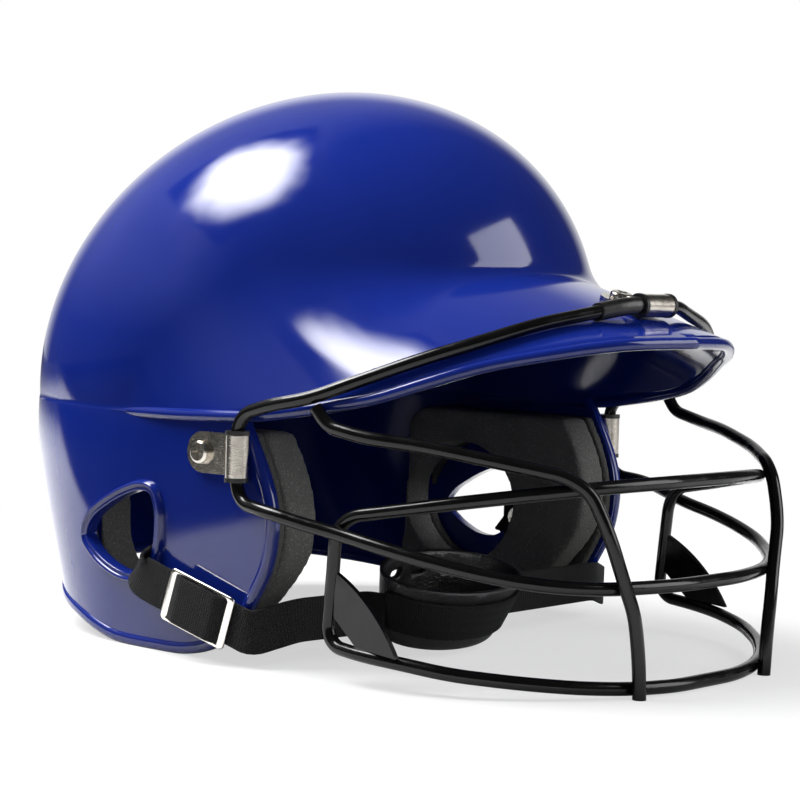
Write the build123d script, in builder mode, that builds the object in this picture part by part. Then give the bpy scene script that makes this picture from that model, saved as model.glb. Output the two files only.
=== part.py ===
from build123d import *
from math import asin, cos, radians, sin, sqrt, tan
import os

# Batting helmet with two ear flaps and a wire face guard, standing on a table.
# X runs across the helmet, the wearer looks along -Y and Z is up. Millimetres.
# The mirror plane is X = 0 and the lowest points of shell and cage are at Z = 0.

# Shell
shell_width = 210.0
shell_length = 250.0
shell_depth = 205.0
crown_y = 41.0
crown_z = 105.6
crown_tilt = 28.9
shell_wall = 3.0
ledge_z = 88.0

# Ear flaps: widest station, widths and back lines of the skirt, from the ledge down
ear_y = 44.0
flap_reach = 85.3
flap_side_radius = 752.0
skirt_level_shares = [1.0, 0.68, 0.34, -0.057]
skirt_half_shares = [0.9905, 0.9962, 0.9857, 0.9571]
nape_reach = 117.5
skirt_back_shares = [1.0, 0.958, 0.843, 0.715]
skirt_front_overrun = 20.0
rim_reach_shares = [0.803, 0.856, 0.95, 0.991, 1.0, 0.973, 0.914, 0.809, 0.668, 0.492, 0.258, 0.03]
rim_height_shares = [1.045, 0.961, 0.795, 0.682, 0.589, 0.432, 0.318, 0.17, 0.062, 0.011, 0.0, 0.006]
nape_rise = 18.0
neck_reach_shares = [0.14, 0.22, 0.35, 0.48, 0.6, 0.82, 1.1]
neck_height_shares = [0.25, 0.39, 0.53, 0.67, 0.8, 1.0, 1.06]

# Bill: an arched visor, sloping down to the front
bill_tuck = 0.8
bill_rise = 81.0
bill_slope = 0.3
bill_tip_y = -147.5
bill_tip_z = 122.6
bill_start_y = 30.0
bill_reach_shares = [1.0, 0.951, 0.866, 0.786, 0.699, 0.623, 0.534, 0.338, 0.03]
bill_width_shares = [0.0, 0.2975, 0.532, 0.672, 0.797, 0.872, 0.922, 0.978, 1.012]
bill_under_front_share = 1.07
bead = 5.2
bead_end_shares = [(0.976, 0.338, 0.42), (0.993, 0.214, 0.23), (0.997, 0.1, 0.12), (0.975, -0.045, 0.0)]

# Rolled edges and ear holes
lip_height = 1.2
lip_width = 4.5
ear_hole_front_y = 16.5
ear_hole_lean = 2.0
ear_hole_rear_y = 56.5
ear_hole_top_z = 62.0
ear_hole_rear_z = 41.0
ear_hole_bottom_z = 27.0
ear_top_radius = 6.0
ear_rear_radius = 11.0
ear_bottom_radius = 8.0
ear_rim_width = 3.6
ear_rim_height = 2.6

# Face guard: wire, overall sizes and the places of its bends
wire = 4.8
cage_reach = 157.8
gusset_plate = 2.0
hoop_front_half = 14.0
hoop_upper_shares = [
    (0.280, 0.783, 0.975),
    (0.457, 0.742, 0.947),
    (0.625, 0.681, 0.900),
    (0.765, 0.589, 0.849),
    (0.877, 0.479, 0.789),
    (0.955, 0.379, 0.737),
    (0.995, 0.279, 0.714),
]
post_top_z = 90.5
post_bottom_z = 60.0
hoop_lower_shares = [
    (1.023, 0.298, 0.437),
    (0.983, 0.383, 0.414),
    (0.935, 0.469, 0.393),
    (0.908, 0.574, 0.370),
    (0.864, 0.664, 0.348),
    (0.790, 0.761, 0.323),
    (0.684, 0.840, 0.301),
    (0.579, 0.897, 0.289),
    (0.445, 0.944, 0.282),
    (0.299, 0.979, 0.282),
    (0.150, 1.0, 0.282),
    (0.0, 1.0, 0.282),
]
lower_loop_shares = [
    (0.0, 0.960, 0.544),
    (0.187, 0.960, 0.544),
    (0.355, 0.935, 0.540),
    (0.505, 0.897, 0.532),
    (0.654, 0.802, 0.512),
    (0.780, 0.688, 0.487),
    (0.855, 0.570, 0.460),
    (0.907, 0.440, 0.432),
    (0.900, 0.428, 0.264),
    (0.901, 0.415, 0.098),
    (0.906, 0.518, 0.086),
    (0.869, 0.617, 0.076),
    (0.806, 0.722, 0.059),
    (0.660, 0.835, 0.043),
    (0.505, 0.914, 0.030),
    (0.346, 0.967, 0.0226),
    (0.168, 0.999, 0.0196),
    (0.0, 0.999, 0.0196),
]
front_bar_shares = [
    (0.951, 0.397, 0.716),
    (0.941, 0.428, 0.669),
    (0.911, 0.523, 0.645),
    (0.826, 0.631, 0.632),
    (0.695, 0.782, 0.598),
    (0.558, 0.887, 0.567),
    (0.507, 0.929, 0.528),
    (0.481, 0.954, 0.452),
    (0.462, 0.967, 0.398),
    (0.418, 0.979, 0.298),
    (0.383, 0.991, 0.217),
    (0.359, 0.9935, 0.101),
    (0.348, 0.9935, -0.03),
]
gusset_shares = [(0.44, 0.290), (0.548, 0.207), (0.627, 0.092), (0.510, 0.1025), (0.44, 0.173)]
gusset_x_share = 0.900

# Clips, cushions and fasteners
clip_metal = 1.0
clip_band = 15.0
cushion_wall = 0.8
cushion_flange = 0.2
cushion_overhang = 1.6
cushion_sleeve = 19.0
fit_gap = 0.3
clip_gap = 0.5
clip_mid_z = 76.0
side_screw_y = -8.2
side_screw_gap = 20.6
side_stand_off = 6.0
front_screw_y = -114.2
front_screw_gap = 14.5
front_stand_off = 4.8
tail_gap = 7.0
screw_shank = 4.0
screw_head = 8.6
screw_head_height = 2.6
screw_clearance = 0.15
screw_end = 0.5
nut_flats = 7.0
nut_height = 3.0
washer_outer = 9.0
washer_height = 0.8
drive_width = 1.2
drive_length = 5.0
drive_depth = 1.4

# Pads
pad_backing = 4.5
pad_foam = 15.5
pad_set_back = 1.5
pad_top_z = 84.0
pad_back_y = 62.0
pad_corner = 10.0
ear_opening_y = 31.0
ear_opening_z = 44.0
ear_opening_length = 60.0
ear_opening_height = 52.0
nut_pocket = 5.6
liner_pad = 9.0
liner_corner = 14.0
forehead_pad_width = 100.0
forehead_pad_low_z = 146.0
forehead_pad_high_z = 180.0
crown_pad_width = 80.0
crown_pad_front_y = 0.0
crown_pad_length = 75.0
nape_pad_width = 100.0
nape_pad_low_z = 45.0
nape_pad_high_z = 110.0
side_pad_front_y = 5.0
side_pad_length = 80.0
side_pad_low_z = 105.0
side_pad_high_z = 150.0

# Chin strap, cup and slider
strap_width = 16.0
strap_thickness = 1.5
strap_pivot_y = 27.0
strap_pivot_z = 40.0
strap_inset = 5.6
strap_stand_off = 3.2
strap_turn_y = 14.0
strap_turn_z = 26.5
strap_wrap_inset = 3.2
strap_wrap_y = -33.0
strap_wrap_z = 12.6
strap_side_inset = 19.0
strap_side_y = -40.0
strap_side_z = 17.0
strap_out_radius = 3.4
strap_turn_radius = 12.0
strap_wrap_radius = 6.0
strap_side_radius = 20.0
strap_arc_steps = 4
root_front_y = 7.0
root_back_y = 34.0
root_low_z = 30.0
root_high_z = 46.0
rivet_y = 12.5
rivet_head = 8.0
rivet_head_height = 1.2
rivet_shank = 3.0
rivet_depth = 2.0
cup_x = -12.0
cup_y = -49.0
cup_length = 74.0
cup_width = 42.0
cup_floor_z = 2.0
cup_rim_z = 30.0
cup_wall = 2.5
cup_taper_share = 0.78
cup_corner = 5.0
cup_vents = 3
cup_vent_pitch = 16.0
cup_vent_length = 9.0
cup_vent_height = 4.0
cup_vent_drop = 7.0
band_low_z = 9.0
slider_length = 31.0
slider_wire = 2.2
slider_bar = 1.2
slider_corner = 1.6
slider_position_share = 0.5
cut_overrun = 300.0

os.makedirs("parts", exist_ok=True)

wire_radius = wire / 2
bill_half = shell_width / 2 - bill_tuck
bill_back_z = bill_tip_z + bill_slope * (bill_start_y - bill_tip_y)
bill_direction = Vector(0, -1, -bill_slope).normalized()
cushion_outer = wire_radius + cushion_wall
loop_outer = cushion_outer + clip_metal


def crown(grow):
    """The egg-shaped dome, grown by a distance all round, with its long axis raised at the front."""
    ball = Sphere(1, mode=Mode.PRIVATE)
    egg = scale(
        ball,
        by=(shell_width / 2 + grow, shell_length / 2 + grow, shell_depth / 2 + grow),
        mode=Mode.PRIVATE,
    )
    return Location((0, crown_y, crown_z), (-crown_tilt, 0, 0)) * egg


def flap_inset(reach):
    """How far the flap's side has curved in, a distance in front of the widest station."""
    return reach**2 / (2 * flap_side_radius)


def flap_x(y, z):
    """How far out the flap's outer face stands at a side-view point."""
    level = z / ledge_z
    rows = list(zip(skirt_level_shares, skirt_half_shares, skirt_back_shares))
    for (upper, half_up, back_up), (lower, half_low, back_low) in zip(rows, rows[1:]):
        if lower <= level <= upper:
            blend = (level - lower) / (upper - lower)
            half = shell_width / 2 * (half_low + (half_up - half_low) * blend)
            back = nape_reach * (back_low + (back_up - back_low) * blend)
    if y > ear_y:
        return half * sqrt(1 - ((y - ear_y) / back) ** 2)
    return half - flap_inset(ear_y - y)


def skirt(grow):
    """The part of the head form below the ledge: ear flaps and nape, as one filled form."""
    front = flap_reach + skirt_front_overrun - grow
    drop = flap_inset(front)
    middle = flap_inset(front / 2)
    with BuildPart() as form:
        for level, half_share, back_share in zip(skirt_level_shares, skirt_half_shares, skirt_back_shares):
            half = shell_width / 2 * half_share + grow
            back = nape_reach * back_share + grow
            with BuildSketch(Plane.XY.offset(ledge_z * level)):
                with BuildLine():
                    EllipticalCenterArc((0, ear_y), half, back, start_angle=0, arc_size=180)
                    ThreePointArc(
                        (-half, ear_y), (-half + middle, ear_y - front / 2), (-half + drop, ear_y - front)
                    )
                    Line((-half + drop, ear_y - front), (half - drop, ear_y - front))
                    ThreePointArc(
                        (half - drop, ear_y - front), (half - middle, ear_y - front / 2), (half, ear_y)
                    )
                make_face()
        loft()
    return form.part


def visor(grow):
    """The filled arch whose skin is the bill, swept down its slope and cut level at the ledge."""
    half = bill_half + grow
    spring = bill_back_z - bill_rise
    with BuildPart() as form:
        with BuildSketch(Plane.XZ.offset(-bill_start_y)):
            with BuildLine():
                EllipticalCenterArc((0, spring), half, bill_rise + grow, start_angle=0, arc_size=180)
                Polyline((-half, spring), (-half, 0), (half, 0), (half, spring))
            make_face()
        extrude(amount=(bill_start_y - bill_tip_y) * bill_under_front_share, dir=bill_direction)
        split(bisect_by=Plane.XY.offset(ledge_z), keep=Keep.TOP)
    return form.part


def head_form(grow):
    """Dome, flaps and visor as one filled form, grown or shrunk all round."""
    pieces = [crown(grow), skirt(grow), visor(grow)]
    with BuildPart() as form:
        add(pieces)
    return form.part


def rim_points(inset):
    """The flap's front and lower edge and the neck line, in the side view, moved in by a distance."""
    flap = [
        (ear_y - flap_reach * reach, ledge_z * height)
        for reach, height in zip(rim_reach_shares, rim_height_shares)
    ]
    neck = [
        (ear_y + nape_reach * reach, nape_rise * height)
        for reach, height in zip(neck_reach_shares, neck_height_shares)
    ]
    points = flap + neck
    moved = []
    for index, (y, z) in enumerate(points):
        before = points[max(index - 1, 0)]
        after = points[min(index + 1, len(points) - 1)]
        along = Vector(after[0] - before[0], after[1] - before[1]).normalized()
        moved.append((y - along.Y * inset, z + along.X * inset))
    return moved


def below_rim(inset):
    """Everything in front of the flaps, below the bill and under the neck line, in the side view."""
    points = rim_points(inset)
    with BuildSketch(Plane.YZ) as region:
        with BuildLine():
            Spline(*points)
            far_back = (points[-1][0] + cut_overrun, points[-1][1])
            Polyline(
                points[-1],
                far_back,
                (far_back[0], -cut_overrun),
                (-cut_overrun, -cut_overrun),
                (-cut_overrun, points[0][1]),
                points[0],
            )
        make_face()
    return region.sketch


def bill_outline():
    """The bill's edge in plan, right side only, from the tip to where it dies into the flap."""
    return [
        (bill_half * width, bill_start_y - (bill_start_y - bill_tip_y) * reach)
        for reach, width in zip(bill_reach_shares, bill_width_shares)
    ]


def bill_top(x, y):
    """The height of the bill's upper face at a place in plan."""
    spring = bill_tip_z + bill_slope * (y - bill_tip_y) - bill_rise
    return spring + bill_rise * sqrt(1 - (x / bill_half) ** 2)


def mirrored_run(points):
    """A run of points from the mirror plane outward, joined to its own mirror image."""
    return [(-p[0], *p[1:]) for p in reversed(points[1:])] + list(points)


def bend_radii(points, run_share=0.45):
    """The largest bend that the runs on both sides of each inner point leave room for."""
    radii = []
    for before, here, after in zip(points, points[1:], points[2:]):
        first = Vector(*here) - Vector(*before)
        second = Vector(*after) - Vector(*here)
        turn = radians(first.get_angle(second))
        radii.append(run_share * min(first.length, second.length) / tan(turn / 2))
    return radii


def bent_rod(points, radius):
    """A round rod along straight runs joined by tangent bends."""
    with BuildPart() as rod:
        with BuildLine() as route:
            FilletPolyline(*points, radius=bend_radii(points))
        with BuildSketch(Plane(origin=route.line @ 0, z_dir=route.line % 0)):
            Circle(radius)
        sweep()
    return rod.part


def across(sketch, side=0):
    """A side-view outline carried across the helmet, or to one side of it only."""
    with BuildPart() as body:
        if side == 0:
            extrude(sketch, amount=cut_overrun, both=True)
        else:
            extrude(sketch, amount=cut_overrun * side)
    return body.part


def ear_hole(grow):
    """The ear hole in the side view: a rounded triangle with its point to the rear."""
    with BuildSketch(Plane.YZ) as hole:
        Polygon(
            (ear_hole_front_y, ear_hole_top_z),
            (ear_hole_front_y + ear_hole_lean, ear_hole_bottom_z),
            (ear_hole_rear_y, ear_hole_rear_z),
            align=None,
        )
        fillet(hole.vertices().sort_by(Axis.Y)[-1], ear_top_radius)
        fillet(hole.vertices().sort_by(Axis.Y)[0], ear_bottom_radius)
        fillet(hole.vertices().sort_by(Axis.X)[-1], ear_rear_radius)
        if grow:
            offset(amount=grow)
    return hole.sketch


# Where the three clips are screwed on, each with X along the surface to the wire and Y outward
side_lean = asin((ear_y - side_screw_y) / flap_side_radius)


def side_clip_plane(side):
    """The place of a side clip's screw on one flap."""
    return Plane(
        origin=(side * flap_x(side_screw_y, clip_mid_z), side_screw_y, clip_mid_z),
        x_dir=(-side * sin(side_lean), -cos(side_lean), 0),
        z_dir=Axis.Z.direction * side,
    )


front_plane = Plane(
    origin=(0, front_screw_y, bill_top(0, front_screw_y)),
    x_dir=bill_direction,
    z_dir=-Axis.X.direction,
)
clip_places = [
    (side_clip_plane(-1), side_screw_gap, side_stand_off),
    (side_clip_plane(1), side_screw_gap, side_stand_off),
    (front_plane, front_screw_gap, front_stand_off),
]
post = side_clip_plane(1).from_local_coords(Vector(side_screw_gap, side_stand_off, 0))
hoop_front = front_plane.from_local_coords(Vector(front_screw_gap, front_stand_off, 0))


def cage_point(shares):
    """A bend of the face guard, from its shares of half width, reach and height."""
    return (post.X * shares[0], -cage_reach * shares[1], hoop_front.Z * shares[2])


def face_plane(plane):
    """The plane of the surface under a clip, with Z outward along its screw."""
    return Plane(origin=plane.origin, x_dir=plane.x_dir, z_dir=plane.y_dir)


# Shell: one moulding, open below and in front, with its lips, ear rims and bill edge
bill_edge = bill_outline()
root_z = (root_low_z + root_high_z) / 2
outer_form = head_form(0)
inner_form = head_form(-shell_wall)
rim_cut = across(below_rim(0))
lips = (skirt(lip_height) - skirt(-shell_wall)) & across(below_rim(lip_width) - below_rim(0))
ear_rims = (skirt(ear_rim_height) - skirt(-shell_wall)) & across(ear_hole(ear_rim_width))
ear_cut = across(ear_hole(0))
ledge_bead = [
    (bill_half * width, bill_start_y - (bill_start_y - bill_tip_y) * reach, ledge_z + bead * rise)
    for width, reach, rise in bead_end_shares
]
bead_route = [(x, y, bill_top(x, y) - bead / 2) for x, y in bill_edge[:-2]] + ledge_bead
edge_bead = bent_rod(mirrored_run(bead_route), bead / 2) - crown(-shell_wall) - skirt(-shell_wall)
with BuildPart() as shell:
    add(outer_form)
    add(inner_form, mode=Mode.SUBTRACT)
    with BuildSketch(Plane.XY):
        outline = mirrored_run(bill_edge)
        with BuildLine():
            Spline(*outline)
            Polyline(
                outline[-1],
                (cut_overrun, outline[-1][1]),
                (cut_overrun, cut_overrun),
                (-cut_overrun, cut_overrun),
                (-cut_overrun, outline[0][1]),
                outline[0],
            )
        make_face()
    extrude(amount=cut_overrun, both=True, mode=Mode.INTERSECT)
    add(rim_cut, mode=Mode.SUBTRACT)
    add([lips, ear_rims, edge_bead])
    add(ear_cut, mode=Mode.SUBTRACT)
    for place, run, stand_off in clip_places:
        with BuildSketch(face_plane(place)):
            Circle(screw_shank / 2 + screw_clearance)
        extrude(amount=2 * shell_wall, both=True, mode=Mode.SUBTRACT)
    for side in (-1, 1):
        inner_x = flap_x(rivet_y, root_z) - shell_wall
        with BuildSketch(Plane.YZ.offset(side * (inner_x + rivet_depth))):
            with Locations((rivet_y, root_z)):
                Circle(rivet_shank / 2)
        extrude(amount=-side * (rivet_depth + shell_wall), mode=Mode.SUBTRACT)
shell.part.label = "shell"
export_step(shell.part, "parts/shell.step")


# Face guard: two closed loops, two upright bars in front and two gusset plates
hoop_run = [
    (0, hoop_front.Y, hoop_front.Z),
    (hoop_front_half, hoop_front.Y, hoop_front.Z),
    *[cage_point(row) for row in hoop_upper_shares],
    (post.X, post.Y, post_top_z),
    (post.X, post.Y, post_bottom_z),
    *[cage_point(row) for row in hoop_lower_shares],
]
half_hoop = bent_rod(hoop_run, wire_radius)
with BuildPart() as cage_main_loop:
    add(half_hoop)
    mirror(about=Plane.YZ)
cage_main_loop.part.label = "cage_main_loop"
export_step(cage_main_loop.part, "parts/cage_main_loop.step")

half_lower_loop = bent_rod([cage_point(row) for row in lower_loop_shares], wire_radius)
with BuildPart() as cage_lower_loop:
    add(half_lower_loop)
    mirror(about=Plane.YZ)
cage_lower_loop.part.label = "cage_lower_loop"
export_step(cage_lower_loop.part, "parts/cage_lower_loop.step")

front_bar = bent_rod([cage_point(row) for row in front_bar_shares], wire_radius)
with BuildPart() as cage_bar_left:
    add(front_bar)
    split(bisect_by=Plane.XY, keep=Keep.TOP)
cage_bar_left.part.label = "cage_bar_left"
export_step(cage_bar_left.part, "parts/cage_bar_left.step")

with BuildPart() as cage_bar_right:
    mirror(cage_bar_left.part, about=Plane.YZ)
cage_bar_right.part.label = "cage_bar_right"
export_step(cage_bar_right.part, "parts/cage_bar_right.step")

plate_x = post.X * gusset_x_share
corners = [(-cage_reach * reach, hoop_front.Z * height) for reach, height in gusset_shares]
with BuildPart() as cage_gusset_left:
    with BuildSketch(Plane.YZ.offset(plate_x)):
        with BuildLine():
            ThreePointArc(corners[0], corners[1], corners[2])
            Line(corners[2], corners[3])
            Line(corners[3], corners[4])
            Line(corners[4], corners[0])
        make_face()
    extrude(amount=gusset_plate / 2, both=True)
cage_gusset_left.part.label = "cage_gusset_left"
export_step(cage_gusset_left.part, "parts/cage_gusset_left.step")

with BuildPart() as cage_gusset_right:
    mirror(cage_gusset_left.part, about=Plane.YZ)
cage_gusset_right.part.label = "cage_gusset_right"
export_step(cage_gusset_right.part, "parts/cage_gusset_right.step")


def p_clip(place, run, stand_off):
    """A band folded round the cushion, with its two ends lying one on the other under the screw."""
    tail_end = run - tail_gap
    with BuildPart() as clip:
        with BuildSketch(place):
            with Locations((run, stand_off)):
                Circle(loop_outer)
            with Locations((tail_end, clip_gap)):
                Rectangle(clip_metal, 2 * clip_metal, align=(Align.MAX, Align.MIN))
            make_hull()
            with Locations((tail_end, clip_gap)):
                Rectangle(tail_end + clip_band / 2, 2 * clip_metal, align=(Align.MAX, Align.MIN))
            with Locations((run, stand_off)):
                eye = Circle(cushion_outer, mode=Mode.PRIVATE)
            throat = Edge.make_line((tail_end, clip_gap + clip_metal), (run, stand_off))
            make_hull([*eye.edges(), throat], mode=Mode.SUBTRACT)
        extrude(amount=clip_band / 2, both=True)
        with BuildSketch(face_plane(place)):
            Circle(clip_band / 2)
            Rectangle(run + 2 * loop_outer, clip_band, align=(Align.MIN, Align.CENTER))
        extrude(amount=cut_overrun, both=True, mode=Mode.INTERSECT)
        with BuildSketch(face_plane(place)):
            Circle(screw_shank / 2 + screw_clearance)
        extrude(amount=cut_overrun, both=True, mode=Mode.SUBTRACT)
    return clip.part


def cushion(place, run, stand_off):
    """The rubber ring between wire and band, with a lip over both edges of the band."""
    eye = Plane(
        origin=place.from_local_coords(Vector(run, stand_off, 0)), x_dir=place.x_dir, z_dir=place.z_dir
    )
    with BuildPart() as ring:
        with BuildSketch(eye):
            Circle(cushion_outer)
        extrude(amount=clip_band / 2 + cushion_overhang, both=True)
        for end in (-1, 1):
            with BuildSketch(eye.offset(end * clip_band / 2)):
                Circle(loop_outer + cushion_flange)
            extrude(amount=end * cushion_overhang)
        with BuildSketch(eye):
            Circle(wire_radius)
        extrude(amount=clip_band, both=True, mode=Mode.SUBTRACT)
    return ring.part


# Clips: one on each flap and one on the bill, each round the main loop, with its cushion
band_right, band_left, band_front = [p_clip(*place) for place in clip_places]
ring_right, ring_left, ring_front = [cushion(*place) for place in clip_places]
with BuildPart() as clip_right:
    add(band_right)
clip_right.part.label = "clip_right"
export_step(clip_right.part, "parts/clip_right.step")

with BuildPart() as clip_left:
    add(band_left)
clip_left.part.label = "clip_left"
export_step(clip_left.part, "parts/clip_left.step")

with BuildPart() as clip_front:
    add(band_front)
clip_front.part.label = "clip_front"
export_step(clip_front.part, "parts/clip_front.step")

with BuildPart() as cushion_right:
    add(ring_right)
cushion_right.part.label = "cushion_right"
export_step(cushion_right.part, "parts/cushion_right.step")

with BuildPart() as cushion_left:
    add(ring_left)
cushion_left.part.label = "cushion_left"
export_step(cushion_left.part, "parts/cushion_left.step")

sleeve_run = [(-x, y, z) for x, y, z in hoop_run[:4]]
sleeve = bent_rod(sleeve_run, cushion_outer)
sleeve_bore = bent_rod(sleeve_run, wire_radius)
with BuildPart() as cushion_front:
    add(ring_front)
    add(sleeve)
    split(bisect_by=Plane.YZ.offset(-clip_band / 2 - cushion_sleeve), keep=Keep.TOP)
    add(sleeve_bore, mode=Mode.SUBTRACT)
cushion_front.part.label = "cushion_front"
export_step(cushion_front.part, "parts/cushion_front.step")


def screw(place):
    """A pan head on the clip, with its shank through clip, wall, washer and nut."""
    seat = face_plane(place).offset(clip_gap + 2 * clip_metal)
    grip = clip_gap + 2 * clip_metal + shell_wall + fit_gap / 2 + washer_height + nut_height + screw_end
    with BuildPart() as body:
        with BuildSketch(seat):
            Circle(screw_head / 2)
        extrude(amount=screw_head_height)
        fillet(body.faces().sort_by(Axis(seat.origin, seat.z_dir))[-1].edges(), screw_head_height / 2)
        with BuildSketch(seat.offset(screw_head_height)):
            Rectangle(drive_length, drive_width)
            Rectangle(drive_width, drive_length)
        extrude(amount=-drive_depth, mode=Mode.SUBTRACT)
        with BuildSketch(seat):
            Circle(screw_shank / 2)
        extrude(amount=-grip)
    return body.part


def washer(place):
    """A flat ring under the nut, on the inside of the wall."""
    with BuildPart() as body:
        with BuildSketch(face_plane(place).offset(-shell_wall - fit_gap / 2)):
            Circle(washer_outer / 2)
            Circle(screw_shank / 2 + screw_clearance, mode=Mode.SUBTRACT)
        extrude(amount=-washer_height)
    return body.part


def nut(place):
    """A hexagon nut on the washer."""
    with BuildPart() as body:
        with BuildSketch(face_plane(place).offset(-shell_wall - fit_gap / 2 - washer_height)):
            RegularPolygon(radius=nut_flats / 2, side_count=6, major_radius=False)
            Circle(screw_shank / 2, mode=Mode.SUBTRACT)
        extrude(amount=-nut_height)
    return body.part


# Fasteners: three screws, washers and nuts
screws = [screw(place) for place, run, stand_off in clip_places]
washers = [washer(place) for place, run, stand_off in clip_places]
nuts = [nut(place) for place, run, stand_off in clip_places]
with BuildPart() as clip_screws:
    add(screws)
clip_screws.part.label = "clip_screws"
export_step(clip_screws.part, "parts/clip_screws.step")

with BuildPart() as clip_washers:
    add(washers)
clip_washers.part.label = "clip_washers"
export_step(clip_washers.part, "parts/clip_washers.step")

with BuildPart() as clip_nuts:
    add(nuts)
clip_nuts.part.label = "clip_nuts"
export_step(clip_nuts.part, "parts/clip_nuts.step")


def ear_pad(side, outer_depth, thickness):
    """One layer of an ear pad, following the flap inside its rim and open round the ear."""
    with BuildSketch(Plane.YZ) as region:
        with Locations((pad_back_y, pad_top_z)):
            Rectangle(flap_reach + pad_back_y, ledge_z, align=(Align.MAX, Align.MAX))
        fillet(region.vertices().group_by(Axis.X)[-1].sort_by(Axis.Y)[-1], pad_corner)
        with Locations((ear_opening_y, ear_opening_z)):
            Ellipse(ear_opening_length / 2, ear_opening_height / 2, mode=Mode.SUBTRACT)
    outline = region.sketch - below_rim(pad_set_back)
    flap_layer = skirt(-outer_depth) - skirt(-outer_depth - thickness)
    block = across(outline, side)
    with BuildPart() as pad:
        add(flap_layer)
        add(block, mode=Mode.INTERSECT)
        if thickness == pad_backing:
            with BuildSketch(face_plane(side_clip_plane(side))):
                Circle(nut_pocket)
            extrude(amount=-2 * pad_foam, mode=Mode.SUBTRACT)
    return pad.part


# Ear pads: a firm backing against each flap and a thick foam pad on it
backing_depth = shell_wall + fit_gap
foam_depth = backing_depth + pad_backing + fit_gap
right_backing = ear_pad(-1, backing_depth, pad_backing)
with BuildPart() as pad_backing_right:
    add(right_backing)
pad_backing_right.part.label = "pad_backing_right"
export_step(pad_backing_right.part, "parts/pad_backing_right.step")

left_backing = ear_pad(1, backing_depth, pad_backing)
with BuildPart() as pad_backing_left:
    add(left_backing)
pad_backing_left.part.label = "pad_backing_left"
export_step(pad_backing_left.part, "parts/pad_backing_left.step")

right_foam = ear_pad(-1, foam_depth, pad_foam)
with BuildPart() as pad_foam_right:
    add(right_foam)
pad_foam_right.part.label = "pad_foam_right"
export_step(pad_foam_right.part, "parts/pad_foam_right.step")

left_foam = ear_pad(1, foam_depth, pad_foam)
with BuildPart() as pad_foam_left:
    add(left_foam)
pad_foam_left.part.label = "pad_foam_left"
export_step(pad_foam_left.part, "parts/pad_foam_left.step")

# Liner pads: five foam pads on the inside of the dome
liner_layer = head_form(-shell_wall - fit_gap) - head_form(-shell_wall - fit_gap - liner_pad)
with BuildPart() as forehead_pad:
    with BuildSketch(Plane.XZ):
        with Locations((0, (forehead_pad_low_z + forehead_pad_high_z) / 2)):
            RectangleRounded(forehead_pad_width, forehead_pad_high_z - forehead_pad_low_z, liner_corner)
    extrude(amount=shell_length)
    add(liner_layer, mode=Mode.INTERSECT)
forehead_pad.part.label = "forehead_pad"
export_step(forehead_pad.part, "parts/forehead_pad.step")

with BuildPart() as crown_pad:
    with BuildSketch(Plane.XY.offset(crown_z)):
        with Locations((0, crown_pad_front_y + crown_pad_length / 2)):
            RectangleRounded(crown_pad_width, crown_pad_length, liner_corner)
    extrude(amount=shell_depth)
    add(liner_layer, mode=Mode.INTERSECT)
crown_pad.part.label = "crown_pad"
export_step(crown_pad.part, "parts/crown_pad.step")

with BuildPart() as nape_pad:
    with BuildSketch(Plane.XZ.offset(-crown_y)):
        with Locations((0, (nape_pad_low_z + nape_pad_high_z) / 2)):
            RectangleRounded(nape_pad_width, nape_pad_high_z - nape_pad_low_z, liner_corner)
    extrude(amount=-shell_length)
    add(liner_layer, mode=Mode.INTERSECT)
nape_pad.part.label = "nape_pad"
export_step(nape_pad.part, "parts/nape_pad.step")


def side_pad(side):
    """A liner pad on one side of the dome, above the ear."""
    with BuildSketch(Plane.YZ) as region:
        with Locations((side_pad_front_y + side_pad_length / 2, (side_pad_low_z + side_pad_high_z) / 2)):
            RectangleRounded(side_pad_length, side_pad_high_z - side_pad_low_z, liner_corner)
    return across(region.sketch, side) & liner_layer


right_side_pad = side_pad(-1)
with BuildPart() as side_pad_right:
    add(right_side_pad)
side_pad_right.part.label = "side_pad_right"
export_step(side_pad_right.part, "parts/side_pad_right.step")

left_side_pad = side_pad(1)
with BuildPart() as side_pad_left:
    add(left_side_pad)
side_pad_left.part.label = "side_pad_left"
export_step(side_pad_left.part, "parts/side_pad_left.step")


def webbing(points, radii):
    """Webbing standing on edge along straight runs and bends, as a ruled strip."""
    with BuildLine() as route:
        FilletPolyline(*points, radius=radii)
    stations = []
    for edge in route.wire().order_edges():
        steps = strap_arc_steps if edge.geom_type == GeomType.CIRCLE else 1
        stations += [(edge @ (step / steps), edge % (step / steps)) for step in range(steps)]
    stations.append((route.line @ 1, route.line % 1))
    with BuildPart() as strip:
        for place, along in reversed(stations):
            up = (Axis.Z.direction - along * along.Z).normalized()
            with BuildSketch(Plane(origin=place, x_dir=up, z_dir=along)):
                Rectangle(strap_width, strap_thickness)
        loft(ruled=True)
    return strip.part


def cup_body(grow, low_z, high_z):
    """The cup's tapered oval form between two heights, grown by a distance."""
    with BuildPart() as body:
        for height in (low_z, high_z):
            rise_share = (height - cup_floor_z) / (cup_rim_z - cup_floor_z)
            size_share = cup_taper_share + (1 - cup_taper_share) * rise_share
            with BuildSketch(Plane.XY.offset(height)):
                with Locations((cup_x, cup_y)):
                    Ellipse(cup_length / 2 * size_share + grow, cup_width / 2 * size_share + grow)
        loft()
    return body.part


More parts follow.
